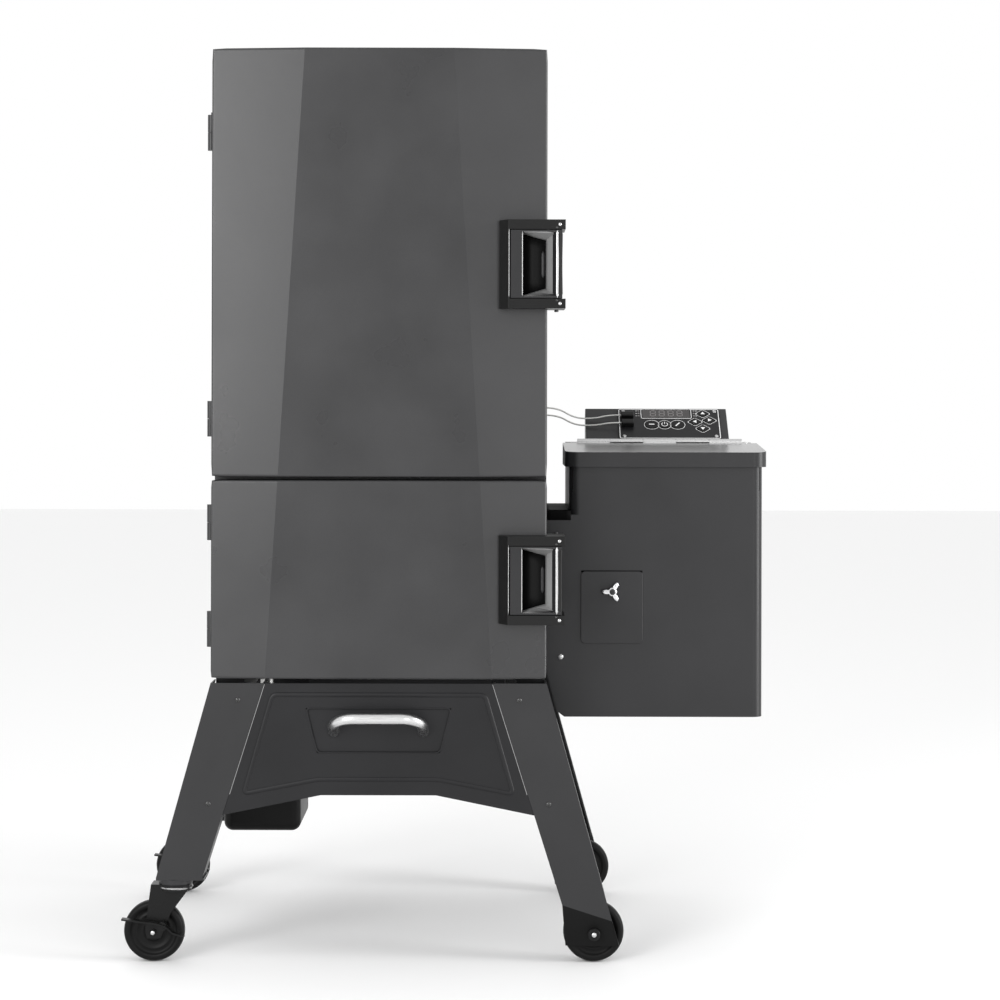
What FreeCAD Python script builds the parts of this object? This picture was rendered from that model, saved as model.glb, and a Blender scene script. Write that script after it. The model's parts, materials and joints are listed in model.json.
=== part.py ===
"""Pellet-fed electric cabinet smoker on a wheeled stand, with its hopper and controller at the right.

Millimetres. While it is modelled, X = 0 is the middle of the cabinet, Y = 0 is the cabinet's front
rim with +Y towards the back, and Z = 0 is the floor. At the end everything moves together, so that
the origin is the middle of the object's footprint on the floor.
"""
import math
import os

import FreeCAD, Part
from FreeCAD import Rotation, Vector

# ---------------------------------------------------------------- driving dimensions
# Cabinet
CABINET_WIDTH = 420.0
CABINET_DEPTH = 420.0
CABINET_HEIGHT = 790.0
CABINET_BOTTOM = 355.0        # height of the cabinet's floor above the ground
WALL = 25.0                   # outer sheet, insulation and liner together
SHEET = 1.2                   # cabinet and door sheet
RIM_RETURN = 6.0              # inner lip of the front rim
MID_BAR_HEIGHT = 34.0         # bar across the front, behind the joint of the two doors

# Doors
LOWER_DOOR_HEIGHT = 248.0
DOOR_SPLIT = 4.0              # gap between the two doors
DOOR_BOTTOM_REVEAL = 2.0
DOOR_THICKNESS = 46.5         # at the proud middle facet
DOOR_TO_RIM = 1.5             # gap from a door's folded edge to the rim
CREASE_TOP = 93.0             # half width of the middle facet at the top of the cabinet
CREASE_BOTTOM = 141.5         # and at the bottom of the lower door
FACET_TILT = 5.5              # degrees that each side facet falls back
SEAL_WIDTH = 11.0
SEAL_INSET = 9.0              # from a door's edge to its seal
SEAL_DEPTH = 5.0
SEAL_TO_RIM = 0.6

# Lift-off hinges
KNUCKLE_RADIUS = 4.5
HINGE_LENGTH = 45.0
HINGE_PIN_RADIUS = 2.5
HINGE_LEAF = 2.0
HINGE_LEAF_REACH = 29.0
HINGE_END_UPPER = (102.0, 72.0)   # hinge middles from the upper door's top and bottom
HINGE_END_LOWER = (55.0, 58.0)    # and from the lower door's top and bottom

# Latches
LATCH_HEIGHT = 110.0
LATCH_LEFT = 60.0             # reach inward from the door's edge
LATCH_RIGHT = 22.0            # reach beyond the door's edge
LATCH_FLANGE = 12.0
LATCH_PROUD = 24.0            # stands forward of the door's middle facet
LATCH_PIN_RADIUS = 2.5
LATCH_PIN_OUT = 12.0          # pin's axis beyond the door's edge
LATCH_PIN_BACK = 14.0         # pin's axis in front of the cabinet's rim
UPPER_LATCH_BELOW_TOP = 271.0
LOWER_LATCH_ABOVE_BOTTOM = 125.0

# Racks and smoking gear
RACK_COUNT = 4
FIRST_RACK = 300.0            # above the cabinet's bottom
SPACE_OVER_TOP_RACK = 120.0
RACK_WIRE = 1.75              # radius
RACK_FRAME_WIRE = 3.0         # radius
RACK_PITCH = 27.0
RAIL_THICKNESS = 2.0
RAIL_LEDGE = 14.0
TRAY_LEVEL = 165.0
BOWL_LEVEL = 200.0
BOWL_SIZE = (250.0, 190.0, 52.0)

# Burner, auger and fan
AUGER_HEIGHT = 115.0          # axis above the cabinet's bottom
AUGER_TUBE_RADIUS = 22.0
AUGER_TUBE_WALL = 2.0
AUGER_FLIGHT_RADIUS = 18.5
AUGER_SHAFT_RADIUS = 6.0
FIRE_POT_SIZE = 92.0          # square
FIRE_POT_FEET = 8.0
FAN_HEIGHT = 60.0             # axis above the cabinet's bottom
FAN_RADIUS = 25.0

# Hopper, measured from the cabinet's right side and front rim
HOPPER_WIDTH = 250.0
HOPPER_DEPTH = 210.0
HOPPER_SETBACK = 60.0
NECK_LENGTH = 31.0            # from the cabinet's side to the hopper
HOPPER_BELOW_CABINET = 58.5
HOPPER_FRONT_HEIGHT = 335.0
HOPPER_CORNER = 13.0
HOPPER_SHEET = 1.5
NECK_TOP_ABOVE = 202.5        # neck's top above the cabinet's bottom
NECK_CUT_HEIGHT = 63.0        # rise of the slanted cut under the neck
NECK_CUT_RUN = 17.0
LID_LENGTH = 136.0            # front to hinge
LID_OVERHANG = 5.5
LID_SKIRT = 19.0
LID_RISE = 10.0               # rain slope, front to hinge
LID_CLEARANCE = 1.2
LID_KNUCKLE_RADIUS = 3.5
LID_PIN_RADIUS = 1.6

# Access cover in the hopper's front
COVER_WIDTH = 80.0
COVER_HEIGHT = 93.0
COVER_FROM_LEFT = 15.0
COVER_BELOW_TOP = 154.0
COVER_THICKNESS = 1.5
KNOB_FROM_LEFT = 40.5
KNOB_BELOW_TOP = 26.0

# Controller
CONTROLLER_WIDTH = 193.0
CONTROLLER_FROM_LEFT = 27.0
CONTROLLER_FACE = 71.0        # slant height of its face
CONTROLLER_TILT = 50.0        # degrees back from upright
CONTROLLER_BACK = 12.0
FACEPLATE_LEFT = 44.0
FACEPLATE_WIDTH = 139.0
FACEPLATE_HEIGHT = 63.0
FACEPLATE_THICKNESS = 3.0
KEY_CLEARANCE = 0.35
KEY_PROUD = 1.0
KEY_DEPTH = 1.4
PLUG_LENGTH = 17.0
PLUG_HEIGHTS = (32.5, 48.5)   # up the face: lower and upper probe

# Probe cables
CABLE_RADIUS = 1.1
PORT_BACK = 226.0             # port's middle behind the rim
PORT_HEIGHT = 335.0           # and above the cabinet's bottom
PORT_RADIUS = 11.0
PORT_FLANGE_RADIUS = 15.0
PORT_FLANGE = 3.0

# Stand
STAND_FRONT = 40.0            # its face stands this far in front of the rim
STAND_TOP_GAP = 4.0           # below the cabinet
LEG_TOP_WIDTH = 67.0
LEG_OUTER_SLOPE = 0.278       # sideways run per millimetre of fall
LEG_INNER_SLOPE = 0.315
LEG_SHEET = 2.0
LEG_DEPTH = 40.0
PANEL_SHEET = 1.5
PANEL_CORNER_DROP = 165.0     # panel's lower corners below the stand's top
PANEL_ARCH_DROP = 140.0
PANEL_ARCH_HALF = 72.0
PANEL_RETURN = 14.0
RAIL_WIDTH = 36.0
RAIL_HEIGHT = 25.0

# Wheels and casters
WHEEL_RADIUS = 38.1
WHEEL_WIDTH = 20.0
FIXED_WHEEL_OUT = 60.0        # fixed wheel's middle beyond the cabinet's side
FIXED_WHEEL_BACK = 22.0       # wheel's middle behind the stand's face
AXLE_RADIUS = 4.0
SHAFT_CLEARANCE = 0.05
CASTER_OUT = 45.5             # swivel's axis beyond the cabinet's side
CASTER_TRAIL = 26.5
CASTER_HEIGHT = 2 * WHEEL_RADIUS + 30.8   # underside of the foot plate above the floor
REAR_CASTER_OUTBOARD = 20.0   # the rear foot plate stands out past its leg
CASTER_RACE_RADIUS = 21.0
KING_PIN_RADIUS = 5.0
FORK_CHEEK = 2.0
FORK_GAP = 1.0                # from a cheek to the wheel

# Grease bucket
BUCKET_LENGTH = 101.0
BUCKET_WIDTH = 140.0
BUCKET_HEIGHT = 97.0
BUCKET_RADIUS = 12.0
BUCKET_OUT = 1.0              # stands out past the cabinet's side
BUCKET_FRONT = 110.0
BUCKET_BOTTOM = 138.0
BUCKET_WALL = 1.5

# Pull handle
HANDLE_ROD_RADIUS = 7.0
HANDLE_HALF = 56.0            # half the distance between its feet
HANDLE_REACH = 39.0
HANDLE_BEND = 27.0
HANDLE_RISE_ANGLE = 32.0      # degrees that the handle tips up
HANDLE_DROP = 61.0            # feet below the stand's top
POCKET_TOP_HALF = 91.0
POCKET_BOTTOM_HALF = 77.0
POCKET_TOP_DROP = 31.0
POCKET_BOTTOM_DROP = 87.0
POCKET_DEPTH = 2.5

MOVING_GAP = 0.5              # least air between a moving piece and what it passes

# ---------------------------------------------------------------- derived places
HALF_WIDTH = CABINET_WIDTH / 2
RACK_SPACING = (CABINET_HEIGHT - WALL - SPACE_OVER_TOP_RACK - FIRST_RACK) / (RACK_COUNT - 1)
RACK_LEVELS = [FIRST_RACK + number * RACK_SPACING for number in range(RACK_COUNT)]
CABINET_TOP = CABINET_BOTTOM + CABINET_HEIGHT
INNER_HALF = HALF_WIDTH - WALL
INNER_BOTTOM = CABINET_BOTTOM + WALL
INNER_TOP = CABINET_TOP - WALL
INNER_BACK = CABINET_DEPTH - WALL
LOWER_DOOR_BOTTOM = CABINET_BOTTOM + DOOR_BOTTOM_REVEAL
LOWER_DOOR_TOP = LOWER_DOOR_BOTTOM + LOWER_DOOR_HEIGHT
UPPER_DOOR_BOTTOM = LOWER_DOOR_TOP + DOOR_SPLIT
UPPER_DOOR_TOP = CABINET_TOP
DOOR_BACK = -DOOR_TO_RIM
DOOR_FACE = DOOR_BACK - DOOR_THICKNESS
HINGE_X = -HALF_WIDTH - KNUCKLE_RADIUS - MOVING_GAP
HINGE_Y = DOOR_BACK / 2
UPPER_HINGES = (UPPER_DOOR_TOP - HINGE_END_UPPER[0], UPPER_DOOR_BOTTOM + HINGE_END_UPPER[1])
LOWER_HINGES = (LOWER_DOOR_TOP - HINGE_END_LOWER[0], LOWER_DOOR_BOTTOM + HINGE_END_LOWER[1])
UPPER_LATCH_Z = UPPER_DOOR_TOP - UPPER_LATCH_BELOW_TOP
LOWER_LATCH_Z = LOWER_DOOR_BOTTOM + LOWER_LATCH_ABOVE_BOTTOM
LATCH_PIN_X = HALF_WIDTH + LATCH_PIN_OUT
LATCH_PIN_Y = -LATCH_PIN_BACK

HOPPER_LEFT = HALF_WIDTH + NECK_LENGTH
HOPPER_RIGHT = HOPPER_LEFT + HOPPER_WIDTH
HOPPER_FRONT = HOPPER_SETBACK
HOPPER_BACK = HOPPER_SETBACK + HOPPER_DEPTH
HOPPER_BOTTOM = CABINET_BOTTOM - HOPPER_BELOW_CABINET
HOPPER_MIDDLE_Y = (HOPPER_FRONT + HOPPER_BACK) / 2
NECK_TOP = CABINET_BOTTOM + NECK_TOP_ABOVE
LID_FRONT_TOP = HOPPER_BOTTOM + HOPPER_FRONT_HEIGHT + 7.0
LID_FRONT = HOPPER_FRONT - LID_OVERHANG
LID_HINGE_Y = LID_FRONT + LID_LENGTH
LID_HINGE_Z = LID_FRONT_TOP + LID_RISE + LID_KNUCKLE_RADIUS / 2
DECK_TOP = LID_FRONT_TOP + LID_RISE
AUGER_Z = CABINET_BOTTOM + AUGER_HEIGHT
AUGER_Y = HOPPER_MIDDLE_Y
FAN_Z = CABINET_BOTTOM + FAN_HEIGHT
AUGER_INNER_END = INNER_HALF - 67.0
AUGER_OUTER_END = HOPPER_LEFT + 150.0

CONTROLLER_LEFT = HOPPER_LEFT + CONTROLLER_FROM_LEFT
CONTROLLER_FRONT = LID_HINGE_Y + LID_KNUCKLE_RADIUS + 2.0
FACE_UP = Vector(0, math.sin(math.radians(CONTROLLER_TILT)), math.cos(math.radians(CONTROLLER_TILT)))
FACE_OUT = Vector(0, -math.cos(math.radians(CONTROLLER_TILT)), math.sin(math.radians(CONTROLLER_TILT)))

FIXED_WHEEL_X = HALF_WIDTH + FIXED_WHEEL_OUT
CASTER_X = HALF_WIDTH + CASTER_OUT
BUCKET_LEFT = HALF_WIDTH + BUCKET_OUT
STAND_TOP = CABINET_BOTTOM - STAND_TOP_GAP
STAND_FACE = -STAND_FRONT
STAND_MIDDLE_Y = (STAND_FACE + CABINET_DEPTH) / 2
LEG_BACK = STAND_FACE + LEG_DEPTH
FIXED_WHEEL_Y = STAND_FACE + FIXED_WHEEL_BACK
CASTER_Y = STAND_FACE + LEG_DEPTH / 2

parts = {}


# ---------------------------------------------------------------- shape helpers
def block(x0, x1, y0, y1, z0, z1):
    """A box between two corners."""
    return Part.makeBox(x1 - x0, y1 - y0, z1 - z0, Vector(x0, y0, z0))


def rod(start, end, radius):
    """A round bar from one point to another."""
    start, end = Vector(*start), Vector(*end)
    return Part.makeCylinder(radius, (end - start).Length, start, end - start)


def prism(outline, axis, low, high):
    """A flat outline, given in the two axes other than `axis`, carried along that axis."""
    place = {"x": lambda a, b: Vector(low, a, b),
             "y": lambda a, b: Vector(a, low, b),
             "z": lambda a, b: Vector(a, b, low)}[axis]
    points = [place(a, b) for a, b in outline]
    travel = {"x": Vector(high - low, 0, 0), "y": Vector(0, high - low, 0),
              "z": Vector(0, 0, high - low)}[axis]
    solid = Part.Face(Part.makePolygon(points + points[:1])).extrude(travel)
    return solid if solid.Volume > 0 else solid.reversed()


def round_edges(shape, axis, radius, keep=lambda point: True):
    """Rounds the straight edges that run along one axis."""
    index = "xyz".index(axis)
    chosen = []
    for edge in shape.Edges:
        if edge.Curve.TypeId == "Part::GeomLine":
            direction = edge.Curve.Direction
            if abs(abs(direction[index]) - 1) < 1e-6 and keep(edge.CenterOfMass):
                chosen.append(edge)
    return shape.makeFillet(radius, chosen)


def ahead_of(point, outward, size=2000.0):
    """Everything on the outward side of a plane."""
    slab = Part.makeBox(size, size, size, Vector(-size / 2, -size / 2, 0))
    slab.Placement = FreeCAD.Placement(point, Rotation(Vector(0, 0, 1), outward)).multiply(slab.Placement)
    return slab


def fuse(shapes):
    """One solid from touching shapes, with the seams between them removed."""
    whole = shapes[0]
    if len(shapes) > 1:
        whole = shapes[0].fuse(shapes[1:])
    return whole.removeSplitter()


def group(shapes):
    """Separate solids that share a node."""
    return Part.makeCompound(shapes)


def mirrored_back(shape):
    """The same piece at the back of the stand."""
    return shape.mirror(Vector(0, STAND_MIDDLE_Y, 0), Vector(0, 1, 0))


def mirrored_left(shape):
    return shape.mirror(Vector(0, 0, 0), Vector(1, 0, 0))


# ---------------------------------------------------------------- cabinet
def port_bore(radius, x0, x1):
    """The hole that the probe cables pass through."""
    height = CABINET_BOTTOM + PORT_HEIGHT
    return rod((x0, PORT_BACK, height), (x1, PORT_BACK, height), radius)


def side_openings():
    """Holes through the cabinet's right wall: probes, pellets and air."""
    inner, outer = INNER_HALF - 5, HALF_WIDTH + 5
    return [port_bore(PORT_RADIUS, inner, outer),
            rod((inner, AUGER_Y, AUGER_Z), (outer, AUGER_Y, AUGER_Z), AUGER_TUBE_RADIUS),
            rod((inner, AUGER_Y, FAN_Z), (outer, AUGER_Y, FAN_Z), FAN_RADIUS)]


SPOUT_RADIUS = 9.0
SPOUT_PLACE = (-BUCKET_LEFT + BUCKET_LENGTH / 2, BUCKET_FRONT + BUCKET_WIDTH / 2)
SPOUT_END = BUCKET_BOTTOM + BUCKET_HEIGHT + 6.0


def drain_opening():
    """The grease spout's hole through the cabinet's floor."""
    return rod((*SPOUT_PLACE, CABINET_BOTTOM - 5), (*SPOUT_PLACE, INNER_BOTTOM + 5), SPOUT_RADIUS)


def make_cabinet():
    """Folded outer shell, pressed liner, insulation boards between them, and a back cover."""
    outer = block(-HALF_WIDTH, HALF_WIDTH, 0, CABINET_DEPTH, CABINET_BOTTOM, CABINET_TOP)
    hollow = block(-HALF_WIDTH + SHEET, HALF_WIDTH - SHEET, SHEET, CABINET_DEPTH + 1,
                   CABINET_BOTTOM + SHEET, CABINET_TOP - SHEET)
    rim = WALL + RIM_RETURN
    bar_low = LOWER_DOOR_TOP + DOOR_SPLIT / 2 - MID_BAR_HEIGHT / 2
    bar_high = bar_low + MID_BAR_HEIGHT
    mouths = [block(-HALF_WIDTH + rim, HALF_WIDTH - rim, -1, SHEET + 1, low, high)
              for low, high in ((CABINET_BOTTOM + rim, bar_low), (bar_high, CABINET_TOP - rim))]
    shell = outer.cut([hollow] + mouths + side_openings() + [drain_opening()])
    parts["cabinet_shell"] = shell

    skin_outer = block(-INNER_HALF - SHEET, INNER_HALF + SHEET, SHEET, INNER_BACK + SHEET,
                       INNER_BOTTOM - SHEET, INNER_TOP + SHEET)
    skin_inner = block(-INNER_HALF, INNER_HALF, SHEET - 1, INNER_BACK, INNER_BOTTOM, INNER_TOP)
    parts["inner_liner"] = skin_outer.cut([skin_inner] + side_openings() + [drain_opening()])

    board_back = CABINET_DEPTH - SHEET
    left_board = block(-HALF_WIDTH + SHEET, -INNER_HALF - SHEET, SHEET, board_back,
                       INNER_BOTTOM - SHEET, INNER_TOP + SHEET)
    right_board = mirrored_left(left_board).cut(side_openings())
    floor_board = block(-HALF_WIDTH + SHEET, HALF_WIDTH - SHEET, SHEET, board_back,
                        CABINET_BOTTOM + SHEET, INNER_BOTTOM - SHEET).cut(drain_opening())
    roof_board = block(-HALF_WIDTH + SHEET, HALF_WIDTH - SHEET, SHEET, board_back,
                       INNER_TOP + SHEET, CABINET_TOP - SHEET)
    rear_board = block(-INNER_HALF - SHEET, INNER_HALF + SHEET, INNER_BACK + SHEET, board_back,
                       INNER_BOTTOM - SHEET, INNER_TOP + SHEET)
    parts["wall_insulation"] = group([left_board, right_board, floor_board, roof_board, rear_board])

    cover = block(-HALF_WIDTH + SHEET, HALF_WIDTH - SHEET, board_back, CABINET_DEPTH,
                  CABINET_BOTTOM + SHEET, CABINET_TOP - SHEET)
    parts["back_panel"] = group([cover, exhaust_hood()])


def exhaust_hood():
    """Slotted smoke outlet that is screwed high on the back."""
    hood_half, hood_height, hood_depth, slot = 70.0, 74.0, 18.0, 5.0
    low = CABINET_TOP - 70.0 - hood_height
    shape = block(-hood_half, hood_half, CABINET_DEPTH, CABINET_DEPTH + hood_depth, low, low + hood_height)
    shape = round_edges(shape, "y", 8.0)
    slots = []
    for row in range(4):
        z = low + 13.0 + row * 13.0
        slots.append(block(-hood_half + 14, hood_half - 14, CABINET_DEPTH + 4, CABINET_DEPTH + hood_depth + 1,
                           z, z + slot))
    return shape.cut(slots)


# ---------------------------------------------------------------- doors
def facet_plane(side):
    """Point on a crease line and the outward direction of the side facet beyond it.

    One straight crease crosses both doors, so both are cut by the same two planes.
    """
    low = Vector(side * CREASE_BOTTOM, DOOR_FACE, LOWER_DOOR_BOTTOM)
    high = Vector(side * CREASE_TOP, DOOR_FACE, UPPER_DOOR_TOP)
    edge_run = HALF_WIDTH - CREASE_BOTTOM
    fall = edge_run * math.tan(math.radians(FACET_TILT))
    beyond = Vector(side * HALF_WIDTH, DOOR_FACE + fall, LOWER_DOOR_BOTTOM)
    outward = (high - low).cross(beyond - low)
    outward.normalize()
    if outward.y > 0:
        outward = outward * -1
    return low, outward


def door_body(low, high, inset, back):
    """A door's solid shape, shrunk by `inset` inside its outer faces."""
    body = block(-HALF_WIDTH + inset, HALF_WIDTH - inset, DOOR_FACE + inset, back, low + inset, high - inset)
    for side in (-1, 1):
        point, outward = facet_plane(side)
        body = body.cut(ahead_of(point - outward * inset, outward))
    return body


def make_door(name, low, high):
    """Folded front pan, insulated inner panel and a rubber seal round its back."""
    inner_back = -SEAL_TO_RIM - SEAL_DEPTH
    pan = door_body(low, high, 0, DOOR_BACK).cut(door_body(low, high, SHEET, 5))
    parts[name + "_skin"] = pan
    parts[name + "_liner"] = door_body(low, high, SHEET, inner_back)
    seal_half = HALF_WIDTH - SEAL_INSET
    ring = block(-seal_half, seal_half, inner_back, -SEAL_TO_RIM, low + SEAL_INSET, high - SEAL_INSET)
    inside = SEAL_INSET + SEAL_WIDTH
    ring = ring.cut(block(-HALF_WIDTH + inside, HALF_WIDTH - inside, inner_back - 1, 1,
                          low + inside, high - inside))
    parts[name + "_seal"] = ring


def hinge_halves(heights, y_far, upper):
    """Knuckles with their leaves: the door carries the upper half, the cabinet the lower with its pin."""
    halves = []
    for middle in heights:
        split = middle + MOVING_GAP / 2 if upper else middle - MOVING_GAP / 2
        z0, z1 = (split, middle + HINGE_LENGTH / 2) if upper else (middle - HINGE_LENGTH / 2, split)
        knuckle = rod((HINGE_X, HINGE_Y, z0), (HINGE_X, HINGE_Y, z1), KNUCKLE_RADIUS)
        y0, y1 = (y_far, DOOR_BACK) if upper else (0, y_far)
        leaf = block(-HALF_WIDTH - HINGE_LEAF, -HALF_WIDTH, y0, y1, z0, z1)
        half = fuse([knuckle, leaf])
        if upper:
            bore = rod((HINGE_X, HINGE_Y, z0 - 1), (HINGE_X, HINGE_Y, z1 - 3),
                       HINGE_PIN_RADIUS + SHAFT_CLEARANCE)
            half = half.cut(bore)
        else:
            pin = rod((HINGE_X, HINGE_Y, z0), (HINGE_X, HINGE_Y, middle + HINGE_LENGTH / 2 - 4),
                      HINGE_PIN_RADIUS)
            half = fuse([half, pin])
        halves.append(half)
    return group(halves)


# ---------------------------------------------------------------- latches
def latch_outline(z_middle, half):
    return z_middle - half, z_middle + half


LATCH_FRONT = DOOR_FACE - LATCH_PROUD
LATCH_PLATE = 3.0
LEVER_GAP = 0.8
LEVER_BACK = DOOR_FACE - LATCH_PLATE - LEVER_GAP
LEVER_SIDE_GAP = 3.0          # lever's side arm to the door's edge
TOE_REACH = 17.0              # lever's toe behind its pin


def make_latch(name, door_low, door_high, middle):
    """Moulded housing on the door with a lever that swings out on an upright pin."""
    low, high = latch_outline(middle, LATCH_HEIGHT / 2)
    left, right = HALF_WIDTH - LATCH_LEFT, HALF_WIDTH + LATCH_RIGHT
    slope = 11.0
    plan = [(left, DOOR_FACE + 20), (left, DOOR_FACE - 4), (left + slope, LATCH_FRONT), (right, LATCH_FRONT),
            (right, LATCH_PIN_Y + 6), (HALF_WIDTH, LATCH_PIN_Y + 6), (HALF_WIDTH, DOOR_FACE + 20)]
    housing = prism(plan, "z", low, high)
    room_low, room_high = low + LATCH_FLANGE, high - LATCH_FLANGE
    room = prism([(left + 4, DOOR_FACE - LATCH_PLATE), (left + slope + 2, LATCH_FRONT - 1),
                  (right + 1, LATCH_FRONT - 1), (right + 1, LATCH_PIN_Y + 7), (HALF_WIDTH, LATCH_PIN_Y + 7),
                  (HALF_WIDTH, DOOR_FACE - LATCH_PLATE)], "z", room_low, room_high)
    beyond_edge = block(HALF_WIDTH, right + 1, LATCH_PIN_Y - 50, LATCH_PIN_Y + 7, room_low, room_high)
    housing = housing.cut([room, beyond_edge, door_body(door_low, door_high, 0, DOOR_BACK)])
    pin_axis = (LATCH_PIN_X, LATCH_PIN_Y)
    housing = housing.cut(rod((*pin_axis, low - 1), (*pin_axis, high + 1), LATCH_PIN_RADIUS))
    pin = rod((*pin_axis, low - 2), (*pin_axis, high + 2), LATCH_PIN_RADIUS)
    parts[name + "_base"] = group([housing, pin])

    z0, z1 = room_low + LEVER_GAP, room_high - LEVER_GAP
    grip_left = left + slope + 3
    arm_left = HALF_WIDTH + LEVER_SIDE_GAP
    lever_right = right - 4
    front = block(grip_left, lever_right, LATCH_FRONT + 1, LEVER_BACK, z0, z1)
    arm = block(arm_left, lever_right, LEVER_BACK, LATCH_PIN_Y + 6, z0, z1)
    toe = block(LATCH_PIN_X - 2, LATCH_PIN_X + 2, LATCH_PIN_Y, LATCH_PIN_Y + TOE_REACH,
                middle - 12, middle + 12)
    lever = fuse([front, arm, toe])
    lever = lever.cut([finger_recess(grip_left, middle, z0, z1),
                       rod((*pin_axis, z0 - 1), (*pin_axis, z1 + 1), LATCH_PIN_RADIUS + SHAFT_CLEARANCE)])
    parts[name + "_lever"] = lever


def finger_recess(grip_left, middle, z0, z1):
    """Tapered pocket behind the grip bar, with a hollow for the fingertips."""
    face, floor = LATCH_FRONT, LEVER_BACK - 2.5
    bar = 15.0
    left, right = grip_left + bar, HALF_WIDTH + 11
    mouth = [Vector(left, face, z0 + 2), Vector(right, face, z0 + 2),
             Vector(right, face, z1 - 2), Vector(left, face, z1 - 2)]
    deep = [Vector(left, floor, z0 + 4), Vector(right - 13, floor, z0 + 12),
            Vector(right - 13, floor, z1 - 12), Vector(left, floor, z1 - 4)]
    wires = [Part.makePolygon(loop + loop[:1]) for loop in (mouth, deep)]
    pocket = Part.makeLoft(wires, True, True)
    hollow = block(left - 9, left + 1, face + 7, floor, z0 + 6, z1 - 6)
    return fuse([pocket, hollow])


def make_keepers():
    """Bent brackets on the cabinet's side that the latch toes close against."""
    brackets = []
    for middle in (UPPER_LATCH_Z, LOWER_LATCH_Z):
        near = LATCH_PIN_Y + TOE_REACH + MOVING_GAP
        plate = block(HALF_WIDTH, HALF_WIDTH + 2, near, near + 34, middle - 18, middle + 18)
        lip = block(HALF_WIDTH, LATCH_PIN_X + 5, near, near + 3, middle - 14, middle + 14)
        brackets.append(fuse([plate, lip]))
    parts["latch_keepers"] = group(brackets)


# ---------------------------------------------------------------- inside the cabinet
def make_rack_gear():
    """Ladder rails on both walls and four wire racks that rest on them."""
    rail_low, rail_high = INNER_BOTTOM + 90.0, INNER_TOP - 40.0
    rails = []
    levels = [CABINET_BOTTOM + level for level in RACK_LEVELS] + [CABINET_BOTTOM + BOWL_LEVEL]
    for y in (60.0, INNER_BACK - 70.0):
        strip = block(-INNER_HALF, -INNER_HALF + RAIL_THICKNESS, y - 12, y + 12, rail_low, rail_high)
        seats = [level - RACK_FRAME_WIRE for level in levels]
        ledges = [block(-INNER_HALF, -INNER_HALF + RAIL_LEDGE, y - 12, y + 12, seat - RAIL_THICKNESS, seat)
                  for seat in seats]
        strip = fuse([strip] + ledges)
        rails += [strip, mirrored_left(strip)]
    parts["rack_rails"] = group(rails)

    half = INNER_HALF - RAIL_THICKNESS - 3.0
    front, back = 22.0, INNER_BACK - 15.0
    r = RACK_FRAME_WIRE
    frame = [rod((-half, front, 0), (half, front, 0), r), rod((-half, back, 0), (half, back, 0), r),
             rod((-half, front, 0), (-half, back, 0), r), rod((half, front, 0), (half, back, 0), r)]
    corners = [Part.makeSphere(r, Vector(x, y, 0)) for x in (-half, half) for y in (front, back)]
    count = int(2 * half / RACK_PITCH)
    spacing = 2 * half / (count + 1)
    wires = []
    for number in range(1, count + 1):
        x = -half + number * spacing
        wires.append(rod((x, front, 0), (x, back, 0), RACK_WIRE))
    brace_y = (front + back) / 2
    brace = rod((-half, brace_y, -1.5), (half, brace_y, -1.5), RACK_WIRE)
    rack = fuse(frame + corners + wires + [brace])
    racks = []
    for level in RACK_LEVELS:
        placed = rack.copy()
        placed.translate(Vector(0, 0, CABINET_BOTTOM + level))
        racks.append(placed)
    parts["cooking_racks"] = group(racks)


def pan_shape(x0, x1, y0, y1, z0, z1, wall, corner):
    """An open pressed pan with rounded upright corners."""
    outer = round_edges(block(x0, x1, y0, y1, z0, z1), "z", corner)
    inner = round_edges(block(x0 + wall, x1 - wall, y0 + wall, y1 - wall, z0 + wall, z1 + 1),
                        "z", max(corner - wall, 0.5))
    return outer.cut(inner)


def make_pans():
    """Water bowl on its ledges, and the drip tray that leads grease to the spout."""
    z = CABINET_BOTTOM + BOWL_LEVEL - RACK_FRAME_WIRE
    length, width, depth = BOWL_SIZE
    middle_y = INNER_BACK / 2
    bowl = pan_shape(-length / 2, length / 2, middle_y - width / 2, middle_y + width / 2,
                     z, z + depth, 1.5, 25.0)
    edge = INNER_HALF - RAIL_THICKNESS - 2.0
    carrier = block(-edge, edge, middle_y - width / 2, middle_y + width / 2, z, z + 1.5)
    carrier = carrier.fuse([block(-edge, edge, 48.0, INNER_BACK - 58.0, z, z + 1.5)])
    carrier = carrier.removeSplitter().cut(block(-length / 2, length / 2, middle_y - width / 2,
                                                 middle_y + width / 2, z - 1, z + 3))
    parts["water_bowl"] = fuse([bowl, carrier])

    tray_z = CABINET_BOTTOM + TRAY_LEVEL
    tray = pan_shape(-INNER_HALF + 4, INNER_HALF - 4, 12, INNER_BACK - 4, tray_z, tray_z + 16, 1.5, 8.0)
    x, y = SPOUT_PLACE
    spout = rod((x, y, SPOUT_END), (x, y, tray_z + 0.5), SPOUT_RADIUS)
    bore = rod((x, y, SPOUT_END - 1), (x, y, tray_z + 3), SPOUT_RADIUS - 1.5)
    parts["drip_tray"] = fuse([tray, spout]).cut(bore)


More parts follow.
